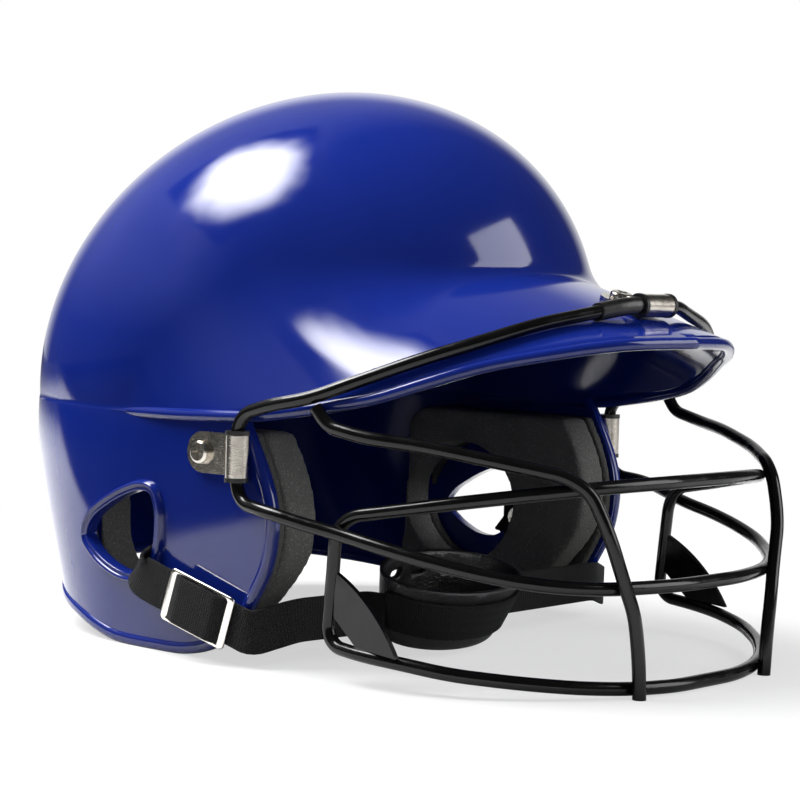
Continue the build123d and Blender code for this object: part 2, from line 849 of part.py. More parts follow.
# Chin cup: a shallow oval bowl with a rolled rim and vents behind
cup_outside = cup_body(0, cup_floor_z, cup_rim_z)
cup_inside = cup_body(-cup_wall, cup_floor_z + cup_wall, cup_rim_z + cup_wall)
with BuildPart() as chin_cup:
    add(cup_outside)
    fillet(chin_cup.faces().sort_by(Axis.Z)[0].edges(), cup_corner)
    add(cup_inside, mode=Mode.SUBTRACT)
    with BuildSketch(Plane.XZ.offset(-cup_y)):
        with Locations((cup_x, cup_rim_z - cup_vent_drop)):
            with GridLocations(cup_vent_pitch, 0, cup_vents, 1):
                SlotOverall(cup_vent_length, cup_vent_height)
    extrude(amount=-cup_width, mode=Mode.SUBTRACT)
chin_cup.part.label = "chin_cup"
export_step(chin_cup.part, "parts/chin_cup.step")

# Chin strap: webbing from both ear holes round the flaps to the cup, and a band round its front
band_high_z = band_low_z + strap_width
band_z = (band_low_z + band_high_z) / 2
band_share = cup_taper_share + (1 - cup_taper_share) * (band_high_z - cup_floor_z) / (cup_rim_z - cup_floor_z)
band_end = cup_length / 2 * band_share + fit_gap + strap_thickness / 2
strap_inner_x = shell_width / 2 - strap_inset
strap_out_x = shell_width / 2 + strap_stand_off
outer_run = [
    (strap_inner_x, strap_pivot_y, strap_pivot_z),
    (strap_out_x, strap_pivot_y, strap_pivot_z),
    (strap_out_x, strap_turn_y, strap_turn_z),
    (shell_width / 2 - strap_wrap_inset, strap_wrap_y, strap_wrap_z),
    (shell_width / 2 - strap_side_inset, strap_side_y, strap_side_z),
]
strap_radii = [strap_out_radius, strap_turn_radius, strap_wrap_radius, strap_side_radius, strap_out_radius]
band_corner_y = cup_y + 2 * strap_out_radius
right_run = [(-x, y, z) for x, y, z in outer_run]
right_run += [(cup_x - band_end, band_corner_y, band_z), (cup_x - band_end, cup_y - strap_thickness, band_z)]
left_run = outer_run + [(cup_x + band_end, band_corner_y, band_z)]
left_run += [(cup_x + band_end, cup_y - strap_thickness, band_z)]
band_outside = cup_body(fit_gap + strap_thickness, band_low_z, band_high_z)
band_inside = cup_body(fit_gap, band_low_z, band_high_z)
right_webbing = webbing(right_run, strap_radii)
left_webbing = webbing(left_run, strap_radii)
with BuildPart() as chin_strap:
    add(band_outside)
    add(band_inside, mode=Mode.SUBTRACT)
    split(bisect_by=Plane.XZ.offset(-cup_y), keep=Keep.TOP)
    add([right_webbing, left_webbing])
chin_strap.part.label = "chin_strap"
export_step(chin_strap.part, "parts/chin_strap.step")


def strap_root(side):
    """The strap's fixed end inside the flap, riveted to its wall."""
    with BuildPart() as root:
        with BuildSketch(Plane.YZ.offset(side * (strap_inner_x - fit_gap))):
            with Locations((root_front_y, root_low_z)):
                Rectangle(root_back_y - root_front_y, root_high_z - root_low_z, align=Align.MIN)
            with Locations((rivet_y, root_z)):
                Circle(rivet_shank / 2, mode=Mode.SUBTRACT)
        extrude(amount=-side * strap_thickness)
    return root.part


right_root = strap_root(-1)
with BuildPart() as strap_root_right:
    add(right_root)
strap_root_right.part.label = "strap_root_right"
export_step(strap_root_right.part, "parts/strap_root_right.step")

left_root = strap_root(1)
with BuildPart() as strap_root_left:
    add(left_root)
strap_root_left.part.label = "strap_root_left"
export_step(strap_root_left.part, "parts/strap_root_left.step")

with BuildPart() as strap_rivets:
    for side in (-1, 1):
        head_x = strap_inner_x - fit_gap - strap_thickness
        tip_x = flap_x(rivet_y, root_z) - shell_wall + rivet_depth
        with BuildSketch(Plane.YZ.offset(side * head_x)):
            with Locations((rivet_y, root_z)):
                Circle(rivet_head / 2)
        extrude(amount=-side * rivet_head_height)
        with BuildSketch(Plane.YZ.offset(side * head_x)):
            with Locations((rivet_y, root_z)):
                Circle(rivet_shank / 2)
        extrude(amount=side * (tip_x - head_x))
strap_rivets.part.label = "strap_rivets"
export_step(strap_rivets.part, "parts/strap_rivets.step")

# Slider: a wire frame with a middle bar on the right side's straight run, webbing turned over it
run_start = Vector(*right_run[2])
run_end = Vector(*right_run[3])
slide_direction = (run_end - run_start).normalized()
slide_up = (Axis.Z.direction - slide_direction * slide_direction.Z).normalized()
slider_plane = Plane(
    origin=run_start + (run_end - run_start) * slider_position_share,
    x_dir=slide_direction,
    z_dir=slide_direction.cross(slide_up),
)
slider_base = slider_plane.offset(strap_thickness / 2 + fit_gap)
slider_inner = strap_width + 2 * fit_gap
slider_outer = slider_inner + 2 * slider_wire
with BuildPart() as slider_frame:
    with BuildSketch(slider_base):
        RectangleRounded(slider_length, slider_outer, slider_corner)
        Rectangle(slider_length - 2 * slider_wire, slider_inner, mode=Mode.SUBTRACT)
    extrude(amount=slider_wire)
    with BuildSketch(slider_base):
        Rectangle(slider_wire, slider_outer - slider_wire)
    extrude(amount=slider_bar)
slider_frame.part.label = "slider_frame"
export_step(slider_frame.part, "parts/slider_frame.step")

turn_half = slider_length / 2 - slider_wire - fit_gap
with BuildPart() as slider_webbing:
    with BuildSketch(Plane(origin=slider_base.origin, x_dir=slider_base.x_dir, z_dir=-slider_base.y_dir)):
        with BuildLine():
            ThreePointArc((-turn_half, fit_gap), (0, slider_bar + fit_gap), (turn_half, fit_gap))
            Line((turn_half, fit_gap), (turn_half, fit_gap + strap_thickness))
            ThreePointArc(
                (turn_half, fit_gap + strap_thickness),
                (0, slider_bar + fit_gap + strap_thickness),
                (-turn_half, fit_gap + strap_thickness),
            )
            Line((-turn_half, fit_gap + strap_thickness), (-turn_half, fit_gap))
        make_face()
    extrude(amount=strap_width / 2, both=True)
slider_webbing.part.label = "slider_webbing"
export_step(slider_webbing.part, "parts/slider_webbing.step")

print("slide direction", slide_direction, "from", slider_plane.origin)
print("posts at", post, "front hoop at", hoop_front)
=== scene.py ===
"""Batting helmet with a wire face guard: the looks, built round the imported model."""

import math

import bmesh
import bpy
import numpy as np
from mathutils import Euler, Matrix, Vector


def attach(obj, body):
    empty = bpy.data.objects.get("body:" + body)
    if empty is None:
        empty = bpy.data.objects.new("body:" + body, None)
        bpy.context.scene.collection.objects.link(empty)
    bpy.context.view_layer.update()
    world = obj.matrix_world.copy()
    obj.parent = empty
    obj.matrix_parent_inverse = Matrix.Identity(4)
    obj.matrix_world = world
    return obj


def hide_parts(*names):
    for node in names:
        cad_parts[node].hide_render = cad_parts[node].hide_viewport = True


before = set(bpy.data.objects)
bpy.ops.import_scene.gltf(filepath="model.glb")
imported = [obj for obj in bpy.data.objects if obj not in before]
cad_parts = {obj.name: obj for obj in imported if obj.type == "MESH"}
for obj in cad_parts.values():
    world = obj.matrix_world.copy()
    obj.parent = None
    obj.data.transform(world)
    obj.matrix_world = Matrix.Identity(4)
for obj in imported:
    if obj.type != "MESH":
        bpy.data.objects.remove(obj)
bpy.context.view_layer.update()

bl_info = {
    "name": "Batting Helmet",
    "version": (1, 0, 0),
    "blender": (4, 5, 0),
    "location": "View3D > Sidebar > Helmet",
    "description": "Dresses a batting helmet: moulded shell, face guard, pads and chin strap",
    "category": "Object",
}

MM = 0.001


# ---------------------------------------------------------------- settings


def distance(name, description, default):
    """A setting in metres."""
    return bpy.props.FloatProperty(name=name, description=description, default=default, unit="LENGTH")


def tint(name, description, default):
    """A setting that is a colour."""
    return bpy.props.FloatVectorProperty(
        name=name, description=description, default=default, subtype="COLOR", size=3, min=0.0, max=1.0
    )


class HelmetShellSettings(bpy.types.PropertyGroup):
    """Sizes and colour of the moulded shell."""

    width: distance("Width", "Dome width over the ears", 0.210)
    length: distance("Length", "Long axis of the dome", 0.250)
    depth: distance("Depth", "Short axis of the dome", 0.205)
    tilt: bpy.props.FloatProperty(
        name="Tilt", description="How far the front of the long axis is raised",
        default=math.radians(28.9), subtype="ANGLE",
    )
    wall: distance("Wall", "Thickness of the moulding", 0.003)
    brow_radius: distance("Brow radius", "Hollow radius between forehead and bill", 0.011)
    bead: distance("Bead", "Diameter of the rolled edge round the bill", 0.0044)
    lip: distance("Lip", "Width of the rolled edge round the flaps", 0.0045)
    colour: tint("Colour", "Colour of the plastic", (0.007, 0.022, 0.235))


class HelmetGuardSettings(bpy.types.PropertyGroup):
    """Finish of the wire face guard and its clips."""

    coat: tint("Coat", "Colour of the dipped coat", (0.003, 0.003, 0.003))
    nickel: tint("Nickel", "Colour of the plated clips", (0.60, 0.56, 0.50))


class HelmetPadSettings(bpy.types.PropertyGroup):
    """Foam of the ear pads and liner pads."""

    voxel: distance("Voxel", "Mesh size the foam is remade at", 0.0018)
    rounding: bpy.props.IntProperty(
        name="Rounding", description="How often the foam's edges are softened", default=5, min=0
    )
    dark: tint("Dark", "Ground colour of the foam", (0.125, 0.125, 0.12))
    speck: tint("Speck", "Colour of the foam's pale specks", (0.42, 0.41, 0.38))


class HelmetStrapSettings(bpy.types.PropertyGroup):
    """Webbing of the chin strap."""

    width: distance("Width", "Width of the webbing", 0.016)
    thickness: distance("Thickness", "Thickness of the webbing", 0.0015)
    weave: distance("Weave", "Distance from one weft thread to the next", 0.0011)
    colour: tint("Colour", "Colour of the yarn", (0.006, 0.006, 0.0065))


class HelmetStageSettings(bpy.types.PropertyGroup):
    """Table, lamps and camera."""

    lens: bpy.props.FloatProperty(name="Lens", description="Focal length in millimetres", default=99.0)
    table: tint("Table", "Colour of the table", (0.88, 0.88, 0.88))
    room: bpy.props.FloatProperty(
        name="Room", description="Strength of the light that comes from all round", default=0.11, min=0.0
    )


def settings(group):
    """The scene's settings of one group."""
    return getattr(bpy.context.scene, "helmet_" + group)


# ---------------------------------------------------------------- shaders


class Level:
    """A number on a node's socket; a sum with it adds a Math node."""

    def __init__(self, finish, socket):
        self.finish = finish
        self.socket = socket

    def calculate(self, operation, *others):
        node = self.finish.node("Math", {"operation": operation})
        for slot, value in zip(node.inputs, (self, *others)):
            self.finish.feed(slot, value)
        return Level(self.finish, node.outputs[0])

    def __add__(self, other):
        return self.calculate("ADD", other)

    def __sub__(self, other):
        return self.calculate("SUBTRACT", other)

    def __rsub__(self, other):
        node = self.finish.node("Math", {"operation": "SUBTRACT"})
        self.finish.feed(node.inputs[0], other)
        self.finish.feed(node.inputs[1], self)
        return Level(self.finish, node.outputs[0])

    def __mul__(self, other):
        return self.calculate("MULTIPLY", other)

    __radd__ = __add__
    __rmul__ = __mul__


class Finish:
    """A material under way: its nodes, and the short ways to add one."""

    def __init__(self, name, tree=None):
        if tree is None:
            self.material = bpy.data.materials.new(name)
            self.material.use_nodes = True
            tree = self.material.node_tree
        else:
            self.material = None
        self.tree = tree
        self.tree.nodes.clear()

    def feed(self, socket, value):
        if isinstance(value, Level):
            self.tree.links.new(value.socket, socket)
        elif isinstance(value, bpy.types.NodeSocket):
            self.tree.links.new(value, socket)
        elif hasattr(value, "__len__") and len(value) == 3 and socket.type == "RGBA":
            socket.default_value = (*value, 1.0)
        else:
            socket.default_value = value

    def node(self, kind, setup=None, **sockets):
        made = self.tree.nodes.new("ShaderNode" + kind)
        for key, value in (setup or {}).items():
            setattr(made, key, value)
        for key, value in sockets.items():
            self.feed(made.inputs[key.replace("_", " ")], value)
        return made

    def place(self):
        return self.node("TexCoord").outputs["Object"]

    def level(self, kind, output=0, setup=None, **sockets):
        """One output of a new node, as a number to reckon with."""
        return Level(self, self.node(kind, setup, **sockets).outputs[output])

    def axes(self, vector):
        """A vector's three numbers."""
        return [Level(self, output) for output in self.node("SeparateXYZ", Vector=vector).outputs]

    def ray(self, kind):
        """1 for rays of a kind and 0 for others."""
        return self.level("LightPath", f"Is {kind} Ray")

    def noise(self, scale, detail=2.0, roughness=0.5, vector=None):
        vector = vector or self.place()
        return self.level("TexNoise", "Fac", Scale=scale, Detail=detail, Roughness=roughness, Vector=vector)

    def stretched(self, scale, roughness, share):
        """Fine noise drawn out into lines, by a share of its scale along each axis."""
        place = self.node("Mapping", Vector=self.place(), Scale=share)
        return self.noise(scale, 4.0, roughness, place.outputs[0])

    def span(self, value, low, high, start=0.0, end=1.0, smooth=False):
        """A level from low to high, laid over start to end and held there."""
        kind = "SMOOTHSTEP" if smooth else "LINEAR"
        return self.level(
            "MapRange", 0, {"interpolation_type": kind},
            Value=value, From_Min=low, From_Max=high, To_Min=start, To_Max=end,
        )

    def mixed(self, share, first, second):
        """One colour going over into another by a share."""
        node = self.node("Mix", {"data_type": "RGBA"})
        self.feed(node.inputs[0], share)
        self.feed(node.inputs[6], first)
        self.feed(node.inputs[7], second)
        return node.outputs[2]

    def mottled(self, level, low, high, first, second):
        """One colour going over into another as a level goes from low to high."""
        return self.mixed(self.span(level, low, high), first, second)

    def bump(self, height, depth, strength):
        return self.node("Bump", Strength=strength, Distance=depth, Height=height).outputs["Normal"]

    def surface(self, colour, roughness, **sockets):
        """The finished material: one shader with these sockets."""
        return self.shown(self.node("BsdfPrincipled", Base_Color=colour, Roughness=roughness, **sockets))

    def blended(self, share, first, second):
        """One shader going over into another by a share."""
        mix = self.node("MixShader", Fac=share)
        for place, shader in enumerate((first, second), start=1):
            self.tree.links.new(shader.outputs[0], mix.inputs[place])
        return mix

    def shown(self, shader, kind="OutputMaterial"):
        """Leads a shader to the output."""
        out = self.node(kind)
        self.tree.links.new(shader.outputs[0], out.inputs["Surface"])
        return self.material


FINISHES = {}


def scaled(colour, share):
    """A colour made darker or brighter."""
    return [channel * share for channel in colour]


def moulded_plastic():
    """Glossy blue moulding: a hint of flow in the colour, faint waviness and fine handling marks."""
    work = Finish("moulded_plastic")
    blue = settings("shell").colour
    colour = work.mottled(work.noise(14.0, 3.0), 0.35, 0.65, scaled(blue, 0.86), blue)
    roughness = work.span(work.noise(55.0, 4.0, 0.6), 0.3, 0.75, 0.07, 0.13)
    waves = work.noise(38.0, 1.0) * 0.7 + work.noise(900.0, 1.0) * 0.05
    normal = work.bump(waves, 0.00012, 0.6)
    return work.surface(colour, roughness, Coat_Weight=0.08, Normal=normal, IOR=1.5, Coat_Roughness=0.04)


def dipped_coat():
    """Black vinyl dip over wire: glossy, with slow runs in its thickness and tiny pits."""
    work = Finish("dipped_coat")
    black = settings("guard").coat
    colour = work.mottled(work.noise(90.0, 3.0), 0.3, 0.7, black, scaled(black, 1.9))
    roughness = work.span(work.noise(160.0, 3.0), 0.3, 0.75, 0.12, 0.26)
    height = work.noise(120.0, 2.0) + work.noise(1300.0, 1.0) * 0.12
    return work.surface(
        colour, roughness, Coat_Weight=0.05, Normal=work.bump(height, 0.00025, 0.5),
        Specular_IOR_Level=0.32, Coat_Roughness=0.08,
    )


def plated_nickel():
    """Satin nickel on pressed steel: fine brushing along the band and a few darker handling spots."""
    work = Finish("plated_nickel")
    bright = settings("guard").nickel
    grain = work.stretched(420.0, 0.6, (1.0, 1.0, 9.0))
    colour = work.mottled(work.noise(260.0, 3.0, 0.6), 0.45, 0.8, bright, scaled(bright, 0.62))
    roughness = work.span(grain, 0.3, 0.75, 0.14, 0.30)
    return work.surface(colour, roughness, Metallic=1.0, Normal=work.bump(grain, 0.00006, 0.6))


def cushion_rubber():
    """Black rubber with a faint bloom."""
    work = Finish("cushion_rubber")
    bloom = work.noise(700.0, 4.0, 0.6)
    colour = work.mottled(bloom, 0.4, 0.8, (0.004, 0.004, 0.004), (0.012, 0.012, 0.012))
    return work.surface(colour, work.span(bloom, 0.3, 0.7, 0.26, 0.42), Normal=work.bump(bloom, 0.0001, 0.5))


def cut_foam(name, share):
    """Cut cell foam: dark ground, pale specks of open cells, dull and slightly furry; a share below one
    darkens all of it as painted shade.
    """
    work = Finish(name)
    pads = settings("pad")
    cells = work.level("TexVoronoi", "Distance", Scale=1150.0, Vector=work.place())
    grit = work.noise(1500.0, 3.0, 0.7)
    ground = scaled(pads.dark, share)
    patch = work.mottled(work.noise(45.0, 3.0), 0.35, 0.7, ground, scaled(ground, 1.35))
    colour = work.mottled(grit, 0.56, 0.74, patch, scaled(pads.speck, share))
    height = cells * 0.6 + grit * 0.8
    return work.surface(
        colour, work.span(grit, 0.3, 0.7, 0.82, 0.96), Normal=work.bump(height, 0.0005, 0.9),
        Specular_IOR_Level=0.3,
    )


def woven_webbing():
    """Black webbing: ribs across its width with warp threads over and under; its colour follows the weave's
    height, with painted shade in the grooves and painted highlight on the crests.
    """
    work = Finish("woven_webbing")
    strap = settings("strap")
    along, across, _ = work.axes(work.node("UVMap").outputs[0])
    along = along * (2 * math.pi / strap.weave)
    across = across * (2 * math.pi / (strap.weave * 0.55))
    over = along.calculate("SINE") * across.calculate("SINE")
    rib = (along * 0.5).calculate("SINE").calculate("ABSOLUTE")
    fuzz = work.noise(1800.0, 3.0, 0.7)
    height = over * 0.35 + rib * 0.5 + fuzz * 0.5
    # Colour follows the weave's height: painted shade in the grooves, painted highlight on the crests.
    colour = work.mottled(height, 0.1, 1.1, scaled(strap.colour, 0.45), scaled(strap.colour, 2.1))
    return work.surface(
        colour, work.span(fuzz, 0.3, 0.7, 0.68, 0.86), Normal=work.bump(height, 0.00035, 0.9),
        Specular_IOR_Level=0.22, Sheen_Weight=0.04,
    )


def cup_plastic():
    """Soft black plastic with a fine leather grain."""
    work = Finish("cup_plastic")
    edges = {"feature": "DISTANCE_TO_EDGE"}
    grain = work.level("TexVoronoi", "Distance", edges, Scale=620.0, Vector=work.place())
    grain = work.span(grain, 0.0, 0.12)
    cloud = work.noise(120.0, 4.0, 0.6)
    colour = work.mottled(cloud, 0.35, 0.7, (0.010, 0.010, 0.0105), (0.024, 0.024, 0.025))
    height = grain * 0.5 + cloud * 0.4
    return work.surface(
        colour, work.span(cloud, 0.3, 0.7, 0.28, 0.42), Normal=work.bump(height, 0.0002, 0.7),
        Specular_IOR_Level=0.5,
    )


def bright_plate():
    """Polished plating on the slider, with hairline rubs."""
    work = Finish("bright_plate")
    rubs = work.stretched(520.0, 0.65, (1.0, 6.0, 1.0))
    colour = work.mottled(rubs, 0.45, 0.8, (0.80, 0.77, 0.71), (0.62, 0.59, 0.54))
    roughness = work.span(rubs, 0.3, 0.75, 0.10, 0.24)
    return work.surface(colour, roughness, Metallic=1.0, Normal=work.bump(rubs, 0.00005, 0.5))


def make_finishes():
    """Every material, once."""
    FINISHES.update(
        shell=moulded_plastic(), coat=dipped_coat(), nickel=plated_nickel(), rubber=cushion_rubber(),
        # The backing is the same foam darkened to 0.55: painted shade deep inside the flaps.
        foam=cut_foam("cut_foam", 1.0), backing=cut_foam("backing_foam_painted_shade", 0.55),
        webbing=woven_webbing(), cup=cup_plastic(), bright=bright_plate(),
    )


# ---------------------------------------------------------------- modelling helpers


def run_lengths(points):
    """The length run up to each point of a line."""
    return np.concatenate([[0.0], np.cumsum(np.linalg.norm(np.diff(points, axis=0), axis=1))])


def respaced(points, count, rows=None):
    """A line's points, or rows that belong to them, read off at even distances along it."""
    reach = run_lengths(points)
    even = np.linspace(0, reach[-1], count)
    rows = points if rows is None else rows
    return np.stack([np.interp(even, reach, column) for column in rows.T], -1)


def nearest(share, last):
    """The index from 0 to last that a share comes nearest to."""
    return np.clip(np.rint(share * last).astype(int), 0, last)


def smooth_run(points, count):
    """Points spaced evenly along a smooth curve through the given ones."""
    points = np.array(points, float)
    steps = np.linalg.norm(np.diff(points, axis=0), axis=1) ** 0.5
    knots = np.concatenate([[0.0], np.cumsum(steps)])
    slopes = np.gradient(points, knots, axis=0)
    fine = np.linspace(0, knots[-1], 40 * len(points))
    index = np.clip(np.searchsorted(knots, fine, side="right") - 1, 0, len(points) - 2)
    length = (knots[index + 1] - knots[index])[:, None]
    share = ((fine - knots[index])[:, None]) / length
    first, second = points[index], points[index + 1]
    curve = (
        (2 * share**3 - 3 * share**2 + 1) * first
        + (share**3 - 2 * share**2 + share) * length * slopes[index]
        + (3 * share**2 - 2 * share**3) * second
        + (share**3 - share**2) * length * slopes[index + 1]
    )
    return respaced(curve, count)


def unit(vectors):
    """Each vector brought to length one."""
    return vectors / np.maximum(np.linalg.norm(vectors, axis=-1, keepdims=True), 1e-12)


def headings(path):
    """The way a line runs at each of its points."""
    return unit(np.gradient(path, axis=0))


def spots_of(*columns):
    """Spots, one to a row, from their columns; a single number fills its column."""
    return np.stack(np.broadcast_arrays(*columns), -1)


def laid_grid(columns, rows, place, lengths=(1.0, 1.0)):
    """A grid with every corner carried to its place; its UV map is in the given lengths."""
    mesh = bmesh.new()
    bmesh.ops.create_grid(mesh, x_segments=columns, y_segments=rows, size=1.0)
    corners = np.array([corner.co for corner in mesh.verts])
    shares = (corners[:, :2] + 1.0) / 2.0
    layer = mesh.loops.layers.uv.new("UVMap")
    for face in mesh.faces:
        for loop in face.loops:
            across, up = shares[loop.vert.index]
            loop[layer].uv = (across * lengths[0], up * lengths[1])
    placed = place(shares[:, 0], shares[:, 1])
    for corner, spot in zip(mesh.verts, placed):
        corner.co = spot
    return mesh


def moulding_along(path, outward, profile, lengths=(1.0, 1.0), spread=1.0):
    """A closed profile carried along a path; profile pairs are (outward, inward along the surface)."""
    count = len(path)
    along = headings(path)
    outward = unit(outward - along * np.sum(outward * along, axis=1, keepdims=True))
    inward = np.cross(outward, along) * spread
    profile = np.array(list(profile) + [profile[0]], float)

    def place(across, up):
        station = nearest(across, count - 1)
        turn = nearest(up, len(profile) - 1)
        return path[station] + outward[station] * profile[turn, :1] + inward[station] * profile[turn, 1:]

    return laid_grid(count - 1, len(profile) - 1, place, lengths)


def rounded_profile(width, height, corner, steps=4):
    """A rectangle with rounded corners, as pairs round its middle."""
    pairs = []
    for turn in range(4):
        centre_x = (width / 2 - corner) * (1 if turn in (0, 3) else -1)
        centre_y = (height / 2 - corner) * (1 if turn in (0, 1) else -1)
        for step in range(steps + 1):
            angle = math.pi / 2 * (turn + step / steps)
            pairs.append((centre_x + corner * math.cos(angle), centre_y + corner * math.sin(angle)))
    return pairs


def linked(thing):
    """The object, put into the scene."""
    bpy.context.scene.collection.objects.link(thing)
    return thing


def finished(mesh, name, finish, closed=True, scale=MM, sharp=40.0):
    """A bmesh turned into a smooth-shaded object with its material, in metres."""
    bmesh.ops.remove_doubles(mesh, verts=mesh.verts, dist=1e-4 if scale == MM else 1e-7)
    if closed:
        bmesh.ops.recalc_face_normals(mesh, faces=mesh.faces)
    if scale != 1.0:
        bmesh.ops.scale(mesh, vec=(scale, scale, scale), verts=mesh.verts)
    data = bpy.data.meshes.new(name)
    mesh.to_mesh(data)
    mesh.free()
    data.shade_smooth()
    data.set_sharp_from_angle(angle=math.radians(sharp))
    data.materials.append(FINISHES[finish])
    return linked(bpy.data.objects.new(name, data))


def applied(piece, sharp=40.0):
    """The piece with its modifiers applied to its mesh."""
    bpy.context.view_layer.update()
    view = bpy.context.evaluated_depsgraph_get()
    baked = bpy.data.meshes.new_from_object(piece.evaluated_get(view), depsgraph=view)
    piece.modifiers.clear()
    piece.data = baked
    baked.shade_smooth()
    baked.set_sharp_from_angle(angle=math.radians(sharp))
    return piece


def joined(meshes):
    """Several bmeshes as one."""
    whole = meshes[0]
    for other in meshes[1:]:
        data = bpy.data.meshes.new("part")
        other.to_mesh(data)
        other.free()
        whole.from_mesh(data)
        bpy.data.meshes.remove(data)
    return whole


def mirrored(mesh):
    """The mesh and its mirror image across the helmet's middle."""
    bmesh.ops.mirror(
        mesh, geom=mesh.verts[:] + mesh.edges[:] + mesh.faces[:], axis="X", merge_dist=1e-3, mirror_u=False
    )
    return mesh


def both_sides(build):
    """The bmesh of one side and a mirrored copy of it, not merged."""
    left = build()
    right = build()
    bmesh.ops.scale(right, vec=(-1, 1, 1), verts=right.verts)
    bmesh.ops.reverse_faces(right, faces=right.faces)
    return joined([left, right])


def repaint(finish, *nodes):
    """CAD nodes that stay as they are and get a material."""
    for name in nodes:
        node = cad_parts[name]
        if not node.material_slots:
            node.data.materials.append(FINISHES[finish])
        for place in node.material_slots:
            place.material = FINISHES[finish]


# ---------------------------------------------------------------- form of the shell, in millimetres

CROWN = np.array([0.0, 41.0, 105.6])
LEDGE = 88.0
EAR_Y = 44.0
BILL_HALF = 104.2
BILL_RISE = 81.0
BILL_SLOPE = 0.30
BILL_TIP = (-147.5, 122.6)
BILL_ROOT = 30.0
# Inside the dome the bill's arch sinks away from BILL_FADES on and is gone at BILL_END
BILL_FADES = 20.0
BILL_FADE = 0.004
BILL_END = 42.0
HEART = np.array([0.0, 15.0, 62.0])
SKIN_NEAR, SKIN_FAR, HALVINGS = 20.0, 260.0, 34
BILL_REACH = [1.0, 0.951, 0.866, 0.786, 0.699, 0.623, 0.534]
BILL_WIDTH = [0.0, 0.2975, 0.532, 0.672, 0.797, 0.872, 0.922]
# The brow radius in front as a share, what it gains by the sides, and where the sides are
BROW_FRONT = 0.4
BROW_GROWTH = 7.0
BROW_SIDE = 90.0
BEAD_END = [(101.7, -30.0, 90.2), (103.5, -8.0, 89.2), (103.9, 12.3, 88.6), (101.6, 38.0, 88.0)]
EDGE_LIFT = 1.2
POLE = np.array([0.0, 40.0, 205.0])
SKIRT_Z = [-5.0, 29.9, 59.8, 88.0]
SKIRT_HALF = [100.5, 103.5, 104.6, 104.0]
SKIRT_BACK = [84.0, 99.0, 112.6, 117.5]
FLAP_BEND = 1504.0
RIM = [
    (-24.5, 92.0), (-29.0, 84.6), (-37.0, 70.0), (-40.5, 60.0), (-41.3, 51.8), (-39.0, 38.0),
    (-34.0, 28.0), (-25.0, 15.0), (-13.0, 5.5), (2.0, 1.0), (22.0, 0.1), (41.5, 0.5), (52.0, 2.5),
    (60.0, 4.5), (70.0, 7.0), (85.0, 9.5), (100.0, 12.0), (115.0, 14.5), (140.0, 18.0), (173.0, 19.1),
]
EAR_HOLE = [
    (56.4, 39.8), (53.4, 45.6), (45.0, 51.4), (34.0, 56.7), (24.6, 59.4), (19.3, 58.6), (17.0, 54.0),
    (16.6, 47.0), (17.6, 39.6), (20.4, 32.6), (26.5, 28.4), (35.2, 28.0), (43.8, 30.5), (51.0, 34.4),
]
EAR_MIDDLE = np.array([31.0, 44.0])
CUTTER_SIDE = 130.0
# The rim's section, as pairs out from the flap and away from the hole, and the share its width is drawn at
EAR_RIM = [
    (-3.0, -0.2), (1.2, -0.2), (1.7, 0.0), (1.9, 0.4), (1.8, 0.9), (1.5, 1.3), (1.55, 1.7), (2.0, 2.0),
    (2.45, 2.5), (2.6, 3.1), (2.4, 3.7), (1.7, 4.2), (0.7, 4.7), (-0.4, 5.2), (-3.0, 5.0),
]
EAR_RIM_SHARE = 0.8
# Thickness of the flaps' rolled edge, its corners' radius, and how far it is sunk inwards and down
LIP_THICK = 4.4
LIP_CORNER = 1.7
LIP_SUNK = (0.9, 0.4)


def dome_gap(spots):
    """How far each spot is outside the dome, and the way out."""
    shell = settings("shell")
    semi = np.array([shell.width, shell.length, shell.depth]) / (2 * MM)
    turn = np.array(Matrix.Rotation(shell.tilt, 3, "X"))
    local = (spots - CROWN) @ turn.T / semi
    size = np.linalg.norm(local, axis=-1)
    grade = (local / semi) @ turn / size[:, None]
    steep = np.linalg.norm(grade, axis=-1)
    return (size - 1) / steep, grade / steep[:, None]


def spring_line(y):
    """Height at which the bill's arch starts."""
    return BILL_TIP[1] + BILL_SLOPE * (y - BILL_TIP[0]) - BILL_RISE


def bill_gap(spots):
    """How far each spot is outside the bill's arch, and the way out."""
    wide = spots[:, 0] / BILL_HALF
    high = np.maximum(spots[:, 2] - spring_line(spots[:, 1]), 0.0) / BILL_RISE
    size = np.maximum(np.sqrt(wide**2 + high**2), 1e-6)
    grade = spots_of(wide / BILL_HALF, -BILL_SLOPE * high / BILL_RISE, high / BILL_RISE) / size[:, None]
    steep = np.maximum(np.linalg.norm(grade, axis=-1), 1e-6)
    fade = BILL_FADE * np.maximum(spots[:, 1] - BILL_FADES, 0.0) ** 2
    return np.maximum((size - 1) / steep + fade, spots[:, 1] - BILL_END), grade / steep[:, None]


def skin_gap(spots):
    """Outside distance of dome and bill together, with a hollow fillet where they meet."""
    dome, dome_way = dome_gap(spots)
    bill, bill_way = bill_gap(spots)
    aside = np.clip(np.abs(spots[:, 0]) / BROW_SIDE, 0.0, 1.0)
    radius = settings("shell").brow_radius / MM * (BROW_FRONT + BROW_GROWTH * aside**3)
    bend = np.clip(np.sum(dome_way * bill_way, axis=1), -0.5, 1.0)
    reach = 4 * radius * (np.sqrt(2 / (1 + bend)) - 1) + 1e-6
    near = np.clip(1 - np.abs(dome - bill) / reach, 0.0, 1.0)
    return np.minimum(dome, bill) - near**2 * reach / 4


def out_to_skin(ways):
    """The points of the outer skin along rays from the heart of the helmet."""
    low = np.full(len(ways), SKIN_NEAR)
    high = np.full(len(ways), SKIN_FAR)
    for _ in range(HALVINGS):
        middle = (low + high) / 2
        inside = skin_gap(HEART + ways * middle[:, None]) < 0
        low = np.where(inside, middle, low)
        high = np.where(inside, high, middle)
    return HEART + ways * ((low + high) / 2)[:, None]


def bill_top(x, y):
    """Height of the bill's upper face."""
    return spring_line(y) + BILL_RISE * math.sqrt(1 - (x / BILL_HALF) ** 2)


